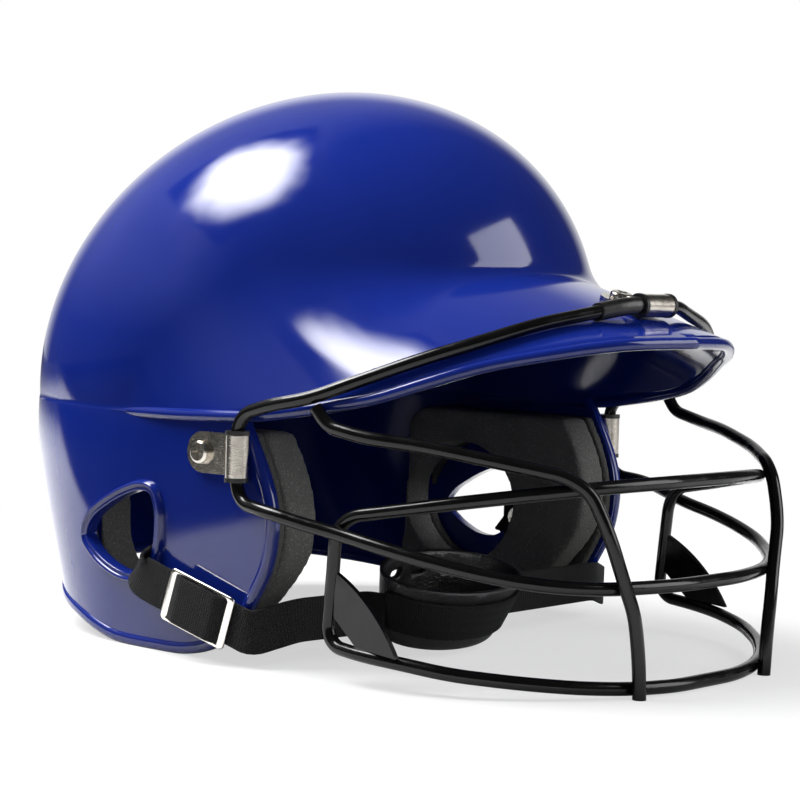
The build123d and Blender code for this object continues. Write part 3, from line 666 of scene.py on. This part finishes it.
def bead_line():
    """Middle line of the rolled edge, from the bill's tip to where it dies into the left flap."""
    drop = settings("shell").bead / MM / 2
    rows = []
    for reach, width in zip(BILL_REACH, BILL_WIDTH):
        x, y = BILL_HALF * width, BILL_ROOT - (BILL_ROOT - BILL_TIP[0]) * reach
        rows.append((x, y, bill_top(x, y) - drop))
    return rows + BEAD_END


def skirt_sizes(z):
    """Half width and back reach of the flaps and nape at a height, smooth through the levels."""
    half = np.polyval(np.polyfit(SKIRT_Z, SKIRT_HALF, 3), z)
    back = np.polyval(np.polyfit(SKIRT_Z, SKIRT_BACK, 3), z)
    return half, back


def flap_x(y, z):
    """How far out the flap's face stands at a side-view point."""
    half, back = skirt_sizes(z)
    behind = half * np.sqrt(np.clip(1 - ((y - EAR_Y) / back) ** 2, 0.0, 1.0))
    return np.where(y > EAR_Y, behind, half - (EAR_Y - y) ** 2 / FLAP_BEND)


def flap_spots(outline):
    """Side-view points laid on the left flap's outer face, with the way out at each."""
    y, z = outline[:, 0], outline[:, 1]
    x = flap_x(y, z)
    down_y = flap_x(y + 0.5, z) - flap_x(y - 0.5, z)
    down_z = flap_x(y, z + 0.5) - flap_x(y, z - 0.5)
    return spots_of(x, y, z), unit(spots_of(1.0, -down_y, -down_z))


def nape_spots(half, back, turn, z):
    """Points at a height, turned from the ear round to the middle of the nape."""
    return spots_of(half * np.cos(turn), EAR_Y + back * np.sin(turn), z)


def neck_height(y):
    """Height of the neck line behind the flaps."""
    rim = smooth_run(RIM, 400)
    behind = rim[np.argmax(rim[:, 0] > EAR_Y):]
    return np.interp(y, behind[:, 0], behind[:, 1])


def rim_line(count):
    """The left half of the rim, from under the bill round the flap to the middle of the nape."""
    rim = smooth_run(RIM, 600)
    front = rim[(rim[:, 0] <= EAR_Y) | (rim[:, 1] > 60)]
    turn = np.linspace(0.0, math.pi / 2, 90)[1:]
    z = np.full(len(turn), 12.0)
    for _ in range(8):
        half, back = skirt_sizes(z)
        y = EAR_Y + back * np.sin(turn)
        z = neck_height(y)
    half, back = skirt_sizes(z)
    spots, ways = flap_spots(front)
    spots = np.concatenate([spots, nape_spots(half, back, turn, z)])
    ways = np.concatenate([ways, unit(spots_of(np.cos(turn) / half, np.sin(turn) / back, 0.0))])
    return respaced(spots, count), unit(respaced(spots, count, ways))


def crown_skin():
    """Dome and bill: columns from the rolled edge and the ledge up to one pole on the crown."""
    edge = np.array(bead_line()[:-3])
    edge[:, 2] += EDGE_LIFT
    side = []
    for y in (-8.0, 12.0, 28.0):
        high = max(LEDGE - spring_line(y), 0.0) / BILL_RISE
        side.append((BILL_HALF * math.sqrt(1 - high**2), y, LEDGE))
    half, back = skirt_sizes(LEDGE)
    ring = nape_spots(half, back, np.linspace(0.02, math.pi / 2, 12), LEDGE)
    columns = 190
    rows = 84
    base = smooth_run([*edge, *side, *ring], columns + 1)
    base[0, 0] = 0.0
    base[-1, 0] = 0.0
    starts = unit(base - HEART)
    pole = unit(POLE - HEART)

    def place(across, up):
        station = nearest(across, columns)
        climb = (up * 0.8 + 0.2 * up**2)[:, None]
        ways = unit(starts[station] * (1 - climb) + pole * climb)
        spots = out_to_skin(ways)
        low = up < 0.5 / rows
        spots[low] = base[station[low]]
        return spots

    mesh = laid_grid(columns, rows, place)
    bmesh.ops.remove_doubles(mesh, verts=mesh.verts, dist=0.02)
    return mirrored(mesh)


def flap_skin():
    """Ear flaps and nape: columns from the ledge down to the rim."""
    half, back = skirt_sizes(LEDGE)
    bottom, _ = rim_line(261)
    start = int(np.argmax(bottom[:, 2] < LEDGE))
    bottom = bottom[start:]
    columns = len(bottom) - 1
    rows = 34
    front = int(np.argmax(bottom[:, 1] > EAR_Y))
    top = np.zeros_like(bottom)
    share = np.linspace(0.0, 1.0, front + 1) ** 0.8
    top_y = bottom[0, 1] + (EAR_Y - bottom[0, 1]) * share
    top[: front + 1] = spots_of(flap_x(top_y, LEDGE), top_y, LEDGE)
    low_half, low_back = skirt_sizes(bottom[front:, 2])
    turn = np.arctan2((bottom[front:, 1] - EAR_Y) / low_back, bottom[front:, 0] / low_half)
    top[front:] = nape_spots(half, back, turn, LEDGE)

    def place(across, up):
        station = nearest(across, columns)
        low, high = bottom[station], top[station]
        z = low[:, 2] + (high[:, 2] - low[:, 2]) * up
        size, reach = skirt_sizes(z)
        y = low[:, 1] + (high[:, 1] - low[:, 1]) * up
        ahead = spots_of(flap_x(np.minimum(y, EAR_Y), z), y, z)
        foot_half, foot_back = skirt_sizes(low[:, 2])
        angle = np.arctan2((low[:, 1] - EAR_Y) / foot_back, low[:, 0] / foot_half)
        behind = nape_spots(size, reach, angle, z)
        return np.where((station >= front)[:, None], behind, ahead)

    mesh = laid_grid(columns, rows, place)
    bmesh.ops.remove_doubles(mesh, verts=mesh.verts, dist=0.02)
    return mirrored(mesh)


def facing_out(mesh):
    """Turns an open skin's faces away from the heart of the helmet."""
    bmesh.ops.recalc_face_normals(mesh, faces=mesh.faces)
    mesh.normal_update()
    heart = Vector(HEART)
    total = sum(face.normal.dot(face.calc_center_median() - heart) * face.calc_area() for face in mesh.faces)
    if total < 0:
        bmesh.ops.reverse_faces(mesh, faces=mesh.faces)
    return mesh


def walled(piece):
    """A skin given the wall's thickness inwards."""
    wall = piece.modifiers.new("wall", "SOLIDIFY")
    wall.thickness = settings("shell").wall
    wall.offset = -1.0
    return piece


def ear_cutter():
    """A long prism through both ear holes."""
    loop = smooth_run(EAR_HOLE + EAR_HOLE[:1], 61)[:-1]
    mesh = bmesh.new()
    ring = [mesh.verts.new((CUTTER_SIDE, y, z)) for y, z in loop]
    face = mesh.faces.new(ring)
    moved = bmesh.ops.extrude_face_region(mesh, geom=[face])
    far = [item for item in moved["geom"] if isinstance(item, bmesh.types.BMVert)]
    bmesh.ops.translate(mesh, vec=(-2 * CUTTER_SIDE, 0, 0), verts=far)
    return finished(mesh, "ear_cutter", "shell", sharp=30)


# ---------------------------------------------------------------- operators


SENSOR = 36.0
TABLE_RADIUS = 6.0
CAMERA_PLACE = (-0.634462, -0.599338, 0.141025)
CAMERA_TURN = (86.784184, -1.533520, -46.894370)
AIM = Vector((0.0, 0.0, 0.12))
LAMP_REACH = 1.2
SOFTBOX_WAY = (-0.33, 0.44, 0.84)
SOFTBOX_SIZE = (1.12, 0.78, 1.0)
SOFTBOX_GLOW = 21.0
# Each lamp's name, the way to it, its size and power, and whether it shows in reflections or only lights
LAMPS = (
    ("softbox", (-0.30, 0.50, 0.82), (1.0, 1.0), 36.0, False),
    ("window_shine", (0.47, -0.79, 0.35), (0.66, 0.82), 7.5, True),
    ("window", (0.50, -0.78, 0.36), (1.0, 1.0), 8.0, False),
    ("front_fill", (-0.80, -0.52, 0.30), (1.2, 1.2), 2.2, False),
)
WHITE = (1.0, 1.0, 1.0)
BACKDROP = (0.73, 0.68, 0.0)


def put(thing, way):
    """Links a lamp or panel to the scene and turns it to the helmet from a way off."""
    linked(thing)
    way = Vector(way).normalized()
    thing.location = AIM + way * LAMP_REACH
    thing.rotation_euler = (-way).to_track_quat("-Z", "Y").to_euler()


def stage_mesh(name, mesh, material):
    """An object of the stage with its material."""
    data = bpy.data.meshes.new(name)
    mesh.to_mesh(data)
    mesh.free()
    data.materials.append(material)
    return bpy.data.objects.new(name, data)


class HELMET_OT_stage(bpy.types.Operator):
    """Table, lamps, surroundings and camera"""

    bl_idname = "helmet.stage"
    bl_label = "Stage"

    def execute(self, context):
        camera_data = bpy.data.cameras.new("camera")
        camera_data.lens = settings("stage").lens
        camera_data.sensor_width = SENSOR
        camera = linked(bpy.data.objects.new("camera", camera_data))
        camera.location = CAMERA_PLACE
        camera.rotation_euler = Euler([math.radians(a) for a in CAMERA_TURN])
        context.scene.camera = camera
        context.scene.view_settings.view_transform = "Standard"
        self.table()
        self.surroundings(context)
        self.softbox_front()
        for lamp in LAMPS:
            self.lamp(*lamp)
        return {"FINISHED"}

    def table(self):
        """A pale table that the camera sees going over into white, and that lights the helmet less."""
        work = Finish("table_top")
        white = list(settings("stage").table)
        x, y, _ = work.axes(work.place())
        grain = work.noise(60.0, 3.0)
        colour = work.mixed(work.span(grain, 0.3, 0.7), white, [channel * 0.985 for channel in white])
        glow = work.span((x * x + y * y).calculate("SQRT"), 0.12, 0.45, 0.60, 1.0, smooth=True)
        pale = work.blended(
            glow * work.ray("Camera"), work.node("BsdfDiffuse", Color=colour),
            work.node("Emission", Color=WHITE, Strength=1.0),
        )
        left = work.span(x, -0.26, -0.22, 1.0, 0.0, smooth=True)
        corner = left * work.span(y, 0.16, 0.20, smooth=True) * work.ray("Glossy")
        dull = work.ray("Diffuse") * 0.8
        dark = work.node("BsdfDiffuse", Color=(0.02, 0.02, 0.02))
        material = work.shown(work.blended(corner.calculate("MAXIMUM", dull), pale, dark))
        mesh = bmesh.new()
        bmesh.ops.create_circle(mesh, cap_ends=True, segments=96, radius=TABLE_RADIUS)
        table = linked(stage_mesh("table", mesh, material))

    def surroundings(self, context):
        """White to the camera; in reflections a pale backdrop behind the helmet and a dim ceiling."""
        world = bpy.data.worlds.new("studio")
        context.scene.world = world
        world.use_nodes = True
        work = Finish("studio", world.node_tree)
        way = work.node("TexCoord").outputs["Generated"]
        towards = work.node("VectorMath", {"operation": "DOT_PRODUCT"})
        work.feed(towards.inputs[0], way)
        towards.inputs[1].default_value = BACKDROP
        behind = work.span(Level(work, towards.outputs["Value"]), 0.80, 0.965, 0.0, 0.80, smooth=True)
        _, y, z = work.axes(way)
        ceiling = work.span(z, 0.0, 0.45, 0.0, 0.34, smooth=True) * work.span(y, 0.1, 0.6, smooth=True)
        behind = (behind + ceiling).calculate("MAXIMUM", 0.05)
        seen = work.ray("Camera").calculate("MAXIMUM", work.ray("Transmission"))
        shiny = work.ray("Glossy")
        unseen = shiny * behind + (1.0 - shiny) * settings("stage").room
        strength = seen + (1.0 - seen) * unseen
        work.shown(work.node("Background", Color=WHITE, Strength=strength), "OutputWorld")

    def softbox_front(self):
        """The softbox's cloth front, brightest in its middle, which only shows in reflections."""
        work = Finish("softbox_cloth")
        place = work.node("VectorMath", {"operation": "LENGTH"})
        work.feed(place.inputs[0], work.place())
        away = Level(work, place.outputs["Value"]) + (work.noise(3.2, 2.0) - 0.5) * 0.22
        glow = work.span(away, 0.18, 0.50, SOFTBOX_GLOW, 0.0, smooth=True)
        material = work.shown(work.node("Emission", Color=WHITE, Strength=glow))
        mesh = bmesh.new()
        bmesh.ops.create_grid(mesh, x_segments=1, y_segments=1, size=0.5)
        cloth = stage_mesh("softbox_front", mesh, material)
        put(cloth, SOFTBOX_WAY)
        cloth.scale = SOFTBOX_SIZE
        cloth.visible_camera = False
        cloth.visible_diffuse = False
        cloth.visible_shadow = False

    def lamp(self, name, way, size, power, glossy):
        data = bpy.data.lights.new(name, "AREA")
        data.shape = "RECTANGLE"
        data.size, data.size_y = size
        data.energy = power
        lamp = bpy.data.objects.new(name, data)
        put(lamp, way)
        lamp.visible_camera = False
        lamp.visible_glossy = glossy
        lamp.visible_diffuse = not glossy


class HELMET_OT_shell(bpy.types.Operator):
    """The moulded shell: dome, bill, ear flaps and rolled edges"""

    bl_idname = "helmet.shell"
    bl_label = "Shell"

    def execute(self, context):
        crown = walled(finished(facing_out(crown_skin()), "shell_crown", "shell", closed=False))
        flaps = walled(finished(facing_out(flap_skin()), "shell_flaps", "shell", closed=False))
        cutter = ear_cutter()
        hole = flaps.modifiers.new("ear_holes", "BOOLEAN")
        hole.operation = "DIFFERENCE"
        hole.object = cutter
        hole.solver = "EXACT"
        applied(flaps)
        applied(crown)
        bpy.data.objects.remove(cutter)
        for piece in (crown, flaps, self.bead(), self.lip(), self.ear_rims()):
            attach(piece, "helmet")
            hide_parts("shell")
        return {"FINISHED"}

    def bead(self):
        half = smooth_run(bead_line(), 150)
        path = np.concatenate([half[:0:-1] * (-1, 1, 1), half])
        outward = bill_gap(path)[1]
        radius = settings("shell").bead / MM / 2
        turns = np.linspace(0, 2 * math.pi, 25)[:-1]
        profile = [(radius * math.cos(a), radius * math.sin(a)) for a in turns]
        return finished(moulding_along(path, outward, profile), "shell_bead", "shell", sharp=70)

    def lip(self):
        half, ways = rim_line(260)
        path = np.concatenate([half, half[-2::-1] * (-1, 1, 1)])
        outward = np.concatenate([ways, ways[-2::-1] * (-1, 1, 1)])
        width = settings("shell").lip / MM
        pairs = rounded_profile(LIP_THICK, width, LIP_CORNER)
        profile = [(a - LIP_SUNK[0], b + width / 2 - LIP_SUNK[1]) for a, b in pairs]
        inward = np.cross(unit(outward), headings(path))
        if np.sum(inward[:, 2]) <= 0:
            profile = [(a, -b) for a, b in profile]
        return finished(moulding_along(path, outward, profile), "shell_lip", "shell", sharp=70)

    def ear_rims(self):
        loop = smooth_run(EAR_HOLE[-3:] + EAR_HOLE + EAR_HOLE[:4], 400)
        start = np.argmin(np.linalg.norm(loop[:150] - np.array(EAR_HOLE[0]), axis=1))
        end = 250 + np.argmin(np.linalg.norm(loop[250:] - np.array(EAR_HOLE[0]), axis=1))
        loop = loop[start: end + 1]
        loop[-1] = loop[0]
        spots, ways = flap_spots(loop)
        inward = np.cross(ways, headings(spots))
        sign = 1.0 if np.sum(inward[:, 1:] * (loop - EAR_MIDDLE)) > 0 else -1.0
        profile = [(a, sign * b * EAR_RIM_SHARE) for a, b in EAR_RIM]
        return finished(
            both_sides(lambda: moulding_along(spots, ways, profile)), "shell_ear_rims", "shell", sharp=75
        )


class HELMET_OT_guard(bpy.types.Operator):
    """The wire face guard, its clips, cushions and fasteners"""

    bl_idname = "helmet.guard"
    bl_label = "Face guard"

    def execute(self, context):
        repaint(
            "coat", "cage_main_loop", "cage_lower_loop", "cage_bar_left", "cage_bar_right",
            "cage_gusset_left", "cage_gusset_right",
        )
        repaint(
            "nickel", "clip_right", "clip_left", "clip_front", "clip_screws", "clip_washers", "clip_nuts"
        )
        repaint("rubber", "cushion_right", "cushion_left", "cushion_front")
        return {"FINISHED"}


# Nodes, finish, slot and the mesh size as a multiple of the setting
PADS = (
    (("pad_foam_right", "pad_foam_left"), "foam", "pad_foam", 1.0),
    # The backing's finish is the foam darkened as painted shade.
    (("pad_backing_right", "pad_backing_left"), "backing", "pad_backing", 0.75),
    (("forehead_pad", "crown_pad", "nape_pad", "side_pad_right", "side_pad_left"), "foam", "pad_foam", 1.2),
)
# Where the cut of the ear foam's lower front corner starts, how far it runs and how deep it gets
CORNER_Z, CORNER_FALL = 0.042, 0.040
CORNER_Y, CORNER_RUN = 0.016, 0.050
CORNER_DRAW = 0.016


class HELMET_OT_pads(bpy.types.Operator):
    """Foam ear pads and liner pads"""

    bl_idname = "helmet.pads"
    bl_label = "Pads"

    def execute(self, context):
        for nodes, finish, slot, coarse in PADS:
            for node in nodes:
                self.block(node, finish, slot, coarse)
        return {"FINISHED"}

    def block(self, node, finish, slot, coarse):
        """A foam block remade evenly, with its cut edges softened."""
        pads = settings("pad")
        mesh = bmesh.new()
        mesh.from_mesh(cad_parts[node].data)
        bmesh.ops.remove_doubles(mesh, verts=mesh.verts, dist=1e-6)
        piece = finished(mesh, "foam_" + node, finish, closed=False, scale=1.0)
        even = piece.modifiers.new("even", "REMESH")
        even.mode = "VOXEL"
        even.voxel_size = pads.voxel * coarse
        soft = piece.modifiers.new("soft", "SMOOTH")
        soft.factor = 0.5
        soft.iterations = pads.rounding
        applied(piece, sharp=180)
        if node.startswith("pad_foam"):
            self.rounded_front(piece)
        piece.data.materials.clear()
        piece.data.materials.append(FINISHES[finish])
        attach(piece, "helmet")
        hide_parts(node)

    def rounded_front(self, piece):
        """Draws the foam's lower front corner back, as it is cut."""
        for corner in piece.data.vertices:
            low = min(max((CORNER_Z - corner.co.z) / CORNER_FALL, 0.0), 1.0)
            ahead = min(max((CORNER_Y - corner.co.y) / CORNER_RUN, 0.0), 1.0)
            corner.co.y += CORNER_DRAW * low**1.6 * ahead


def rounded_route(corners, radii, spacing=0.8):
    """Straight runs joined by tangent arcs, as evenly spaced points."""
    corners = [np.array(corner, float) for corner in corners]
    points = [corners[0]]
    for before, here, after, radius in zip(corners, corners[1:], corners[2:], radii):
        back = unit(before - here)
        ahead = unit(after - here)
        half = math.acos(float(np.clip(back @ ahead, -1, 1))) / 2
        run = radius / math.tan(half)
        middle = here + unit(back + ahead) * radius / math.sin(half)
        first, last = here + back * run, here + ahead * run
        start, end = first - middle, last - middle
        sweep = math.acos(float(np.clip(start @ end / radius**2, -1, 1)))
        steps = max(3, int(radius * sweep / spacing))
        for step in range(steps + 1):
            share = step / steps
            arc = (math.sin((1 - share) * sweep) * start + math.sin(share * sweep) * end) / math.sin(sweep)
            points.append(middle + arc)
    points.append(corners[-1])
    return np.array(points)


def evened(points, spacing):
    """The same line with its points a set distance apart."""
    return respaced(points, max(3, int(round(run_lengths(points)[-1] / spacing)) + 1))


def capped(mesh):
    """A tube's mesh closed along its seam and at both ends."""
    bmesh.ops.remove_doubles(mesh, verts=mesh.verts, dist=1e-4)
    bmesh.ops.holes_fill(mesh, edges=[edge for edge in mesh.edges if edge.is_boundary], sides=0)
    return mesh


def webbing_profile(width, thickness):
    """Webbing's section on edge, with rounded selvedges."""
    return rounded_profile(thickness, width, thickness * 0.42, 3)


def webbing_strip(path, width, thickness, up=(0.0, 0.0, 1.0), spans=None):
    """Webbing on edge along a line, rounded at both selvedges, with its UV map in metres."""
    along = headings(path)
    up = np.broadcast_to(np.array(up, float), path.shape)
    upward = unit(up - along * np.sum(along * up, axis=1, keepdims=True))
    spread = 1.0 if spans is None else (spans / width)[:, None]
    profile = webbing_profile(width, thickness)
    flat = []
    for pair, after in zip(profile, profile[1:] + profile[:1]):
        flat.append(pair)
        if abs(after[1] - pair[1]) > width / 2:
            flat += [(pair[0], pair[1] + (after[1] - pair[1]) * step / 12) for step in range(1, 12)]
    sizes = (run_lengths(path)[-1] * MM, run_lengths(flat + flat[:1])[-1] * MM)
    return capped(moulding_along(path, np.cross(along, upward), flat, sizes, spread))


# The cup's middle, half sizes, floor and rim as the solid has them, then how it leans, lifts, moves and
# shrinks, and the strap's band round it
CUP = (-12.0, -49.0)
CUP_HALF = (37.0, 21.0)
CUP_FLOOR = 2.0
CUP_RIM = 30.0
CUP_TAPER = 0.78
CUP_TILT = math.radians(18.0)
CUP_LIFT = 2.2
CUP_ASIDE = -5.5
CUP_SIZE = 0.94
CUP_CORNER = 6.8
BAND_LOW = 9.0
BAND_STATIONS = 89
BAND_LENGTHS = (0.1, 0.035)
CLEAR = 0.3


def cup_share(z):
    """Size of the cup's oval at a height, as a share of its rim."""
    return CUP_TAPER + (1 - CUP_TAPER) * (z - CUP_FLOOR) / (CUP_RIM - CUP_FLOOR)


def leaning(spots):
    """Points of the cup and its band, leaned forward about the cup's own middle."""
    x, y, z = ((spots - (*CUP, (CUP_FLOOR + CUP_RIM) / 2)) * CUP_SIZE).T
    turned_y = y * math.cos(CUP_TILT) - z * math.sin(CUP_TILT)
    turned_z = y * math.sin(CUP_TILT) + z * math.cos(CUP_TILT)
    middle = (CUP_FLOOR + CUP_RIM) / 2 + CUP_LIFT
    return spots_of(x + CUP[0] + CUP_ASIDE, turned_y + CUP[1], turned_z + middle)


# The left leg's corners, mirrored for the right, the radii of its bends, the upper and lower edge of the
# webbing where it comes out of the ear hole, and the riveted end inside
LEG = [(108.2, 14.0, 26.5), (101.8, -33.0, 12.6), (86.0, -40.0, 17.0)]
LEG_BENDS = [6.0, 20.0, 3.4]
MOUTH_TOP = [
    (98.5, 18.6, 39.6), (101.5, 18.6, 39.4), (105.0, 18.7, 38.8), (107.5, 18.7, 37.8), (108.5, 17.4, 36.4),
]
MOUTH_LOW = [
    (98.5, 24.6, 31.4), (101.5, 24.9, 30.8), (105.0, 25.5, 29.6), (107.9, 25.4, 26.0), (108.9, 23.7, 22.0),
]
ROOT_X = 99.4
ROOT_Z = 38.0
ROOT_Y = np.linspace(7.0, 20.0, 18)
# The slider's length, widths of its end and edge bars, its plate's thickness, the radii of its corners
# outside and inside, the middle bar's section and how much wider than the strap the turned webbing shows
SLIDER_LENGTH = 31.0
SLIDER_END = 3.2
SLIDER_EDGE = 1.7
SLIDER_PLATE = 1.5
SLIDER_CORNERS = (1.8, 0.7)
SLIDER_BAR = (1.2, 2.2)
SLIDER_COVER = 1.6
# Across a bar of the frame: share of the way in from its outer side, and height
SLIDER_SECTION = np.array([
    (0.0, 0.4), (0.0, SLIDER_PLATE - 0.5), (0.08, SLIDER_PLATE - 0.15), (0.2, SLIDER_PLATE),
    (0.8, SLIDER_PLATE), (0.92, SLIDER_PLATE - 0.15), (1.0, SLIDER_PLATE - 0.5), (1.0, 0.4),
    (0.9, 0.0), (0.1, 0.0), (0.0, 0.4),
])


def strap_leg(side, corner, last, width):
    """One leg of the chin strap, out of the ear hole, over its rim and along to the cup's end.

    It is given as its middle line, the way its width lies and how wide it shows at each station.
    """
    run = [(side * x, y, z) for x, y, z in LEG] + [corner, last]
    line = evened(rounded_route(run, LEG_BENDS), 1.6)
    along = headings(line)
    upward = unit(np.array([0.0, 0.0, 1.0]) - along * along[:, 2:])
    edges = []
    for mouth, half in ((MOUTH_TOP, width / 2), (MOUTH_LOW, -width / 2)):
        straight = line + upward * half
        bend = [(side * x, y, z) for x, y, z in mouth] + [straight[1], straight[3]]
        edges.append(np.concatenate([smooth_run(bend, 26), straight[4:]]))
    top, low = edges
    return (top + low) / 2, top - low, np.linalg.norm(top - low, axis=1)


class HELMET_OT_strap(bpy.types.Operator):
    """Chin strap webbing, strap roots, slider and chin cup"""

    bl_idname = "helmet.strap"
    bl_label = "Chin strap"

    def execute(self, context):
        strap = settings("strap")
        width, thickness = strap.width / MM, strap.thickness / MM
        band_z = BAND_LOW + width / 2
        share = cup_share(BAND_LOW + width)
        end = (CUP_HALF[0] * share + CLEAR + thickness / 2) * CUP_SIZE
        meshes = []
        for side in (-1, 1):
            x = CUP[0] + CUP_ASIDE + side * end
            corner = (x, CUP[1] + CUP_CORNER, band_z)
            last = (x, CUP[1] - thickness, band_z)
            line, up, spans = strap_leg(side, corner, last, width)
            meshes.append(webbing_strip(line, width, thickness, up, spans))
        meshes.append(self.band(width, thickness, band_z))
        piece = finished(joined(meshes), "chin_webbing", "webbing")
        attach(piece, "chin_strap")
        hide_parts("chin_strap")
        self.roots(width, thickness)
        self.slider(width, thickness)
        self.cup()
        repaint("nickel", "strap_rivets")
        return {"FINISHED"}

    def cup(self):
        """The soft cup, leaned forward so that its hollow shows."""
        mesh = bmesh.new()
        mesh.from_mesh(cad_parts["chin_cup"].data)
        spots = leaning(np.array([corner.co for corner in mesh.verts]) / MM) * MM
        for corner, spot in zip(mesh.verts, spots):
            corner.co = spot
        piece = finished(mesh, "soft_cup", "cup", scale=1.0, sharp=50)
        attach(piece, "chin_strap")
        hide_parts("chin_cup")

    def band(self, width, thickness, band_z):
        """The band round the front of the cup, leaning out with its wall."""
        profile = webbing_profile(width, thickness)
        profile = np.array(profile + profile[:1])

        def place(across, turn):
            angle = math.pi + across * math.pi
            row = nearest(turn, len(profile) - 1)
            z = band_z + profile[row, 1]
            share = cup_share(z)
            grow = CLEAR + thickness / 2 + profile[row, 0]
            x = CUP[0] + (CUP_HALF[0] * share + grow) * np.cos(angle)
            y = CUP[1] + (CUP_HALF[1] * share + grow) * np.sin(angle)
            return leaning(spots_of(x, y, z))

        return capped(laid_grid(BAND_STATIONS, len(profile) - 1, place, lengths=BAND_LENGTHS))

    def roots(self, width, thickness):
        """The strap's riveted ends inside both flaps."""
        for side, name in ((-1, "right"), (1, "left")):
            path = spots_of(side * (ROOT_X - CLEAR - thickness / 2), ROOT_Y, ROOT_Z)
            piece = finished(webbing_strip(path, width, thickness), "root_webbing_" + name, "webbing")
            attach(piece, "helmet")
            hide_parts("strap_root_" + name)

    def slider(self, width, thickness):
        """The bright frame and the webbing turned over its middle bar."""
        start, stop = (np.array(corner) * (-1, 1, 1) for corner in LEG[:2])
        along = unit(stop - start)
        up = unit(np.array([0.0, 0.0, 1.0]) - along * along[2])
        out = np.cross(along, up)
        origin = (start + stop) / 2 + out * (thickness / 2 + CLEAR)
        opening = width + 2 * CLEAR
        inside = SLIDER_LENGTH - 2 * SLIDER_END
        rings = [
            rounded_profile(SLIDER_LENGTH, opening + 2 * SLIDER_EDGE, SLIDER_CORNERS[0], 6),
            rounded_profile(inside, opening, SLIDER_CORNERS[1], 6),
        ]
        outer_ring, inner_ring = (np.array(ring + ring[:1]) for ring in rings)
        stations, rows = len(outer_ring) - 1, len(SLIDER_SECTION) - 1

        def place(across, turn):
            station = nearest(across, stations)
            share, height = SLIDER_SECTION[nearest(turn, rows)].T[:, :, None]
            flat = outer_ring[station] * (1 - share) + inner_ring[station] * share
            return origin + flat[:, :1] * along + flat[:, 1:] * up + height * out

        bar, bar_width = SLIDER_BAR
        half = (opening + SLIDER_EDGE) / 2
        bar_path = np.array([origin + out * bar / 2 + up * b for b in np.linspace(-half, half, 8)])
        meshes = [
            laid_grid(stations, rows, place),
            moulding_along(bar_path, np.tile(out, (8, 1)), rounded_profile(bar, bar_width, 0.4, 3)),
        ]
        piece = finished(joined(meshes), "slider_bright", "bright")
        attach(piece, "slider")
        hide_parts("slider_frame")
        reach = inside / 2 - 0.2
        shares = np.linspace(-1, 1, 40)
        rise = thickness / 2 - 0.2 + (bar + 1.1) * np.clip(3.0 * (1 - np.abs(shares)), 0.0, 1.0) ** 0.6
        path = origin + shares[:, None] * reach * along + rise[:, None] * out
        piece = finished(
            webbing_strip(path, width + SLIDER_COVER, thickness, up=up), "slider_turn", "webbing"
        )
        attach(piece, "slider")
        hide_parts("slider_webbing")


class HELMET_PT_panel(bpy.types.Panel):
    """The helmet's pieces"""

    bl_label = "Helmet"
    bl_idname = "HELMET_PT_panel"
    bl_space_type = "VIEW_3D"
    bl_region_type = "UI"
    bl_category = "Helmet"

    def draw(self, context):
        for operator in OPERATORS:
            self.layout.operator(operator.bl_idname)
        for group in GROUPS:
            box = self.layout.box()
            box.label(text=group.title())
            for name in GROUPS[group].__annotations__:
                box.prop(settings(group), name)


OPERATORS = (HELMET_OT_stage, HELMET_OT_shell, HELMET_OT_guard, HELMET_OT_pads, HELMET_OT_strap)
GROUPS = {
    "shell": HelmetShellSettings,
    "guard": HelmetGuardSettings,
    "pad": HelmetPadSettings,
    "strap": HelmetStrapSettings,
    "stage": HelmetStageSettings,
}


def register():
    for name, group in GROUPS.items():
        bpy.utils.register_class(group)
        setattr(bpy.types.Scene, "helmet_" + name, bpy.props.PointerProperty(type=group))
    for operator in OPERATORS:
        bpy.utils.register_class(operator)
    bpy.utils.register_class(HELMET_PT_panel)


def unregister():
    bpy.utils.unregister_class(HELMET_PT_panel)
    for operator in reversed(OPERATORS):
        bpy.utils.unregister_class(operator)
    for name, group in GROUPS.items():
        delattr(bpy.types.Scene, "helmet_" + name)
        bpy.utils.unregister_class(group)


def main():
    register()
    make_finishes()
    calls = bpy.ops.helmet
    for call in (calls.stage, calls.shell, calls.guard, calls.pads, calls.strap):
        if call() != {"FINISHED"}:
            raise RuntimeError("a piece was not finished")


if __name__ == "__main__":
    main()
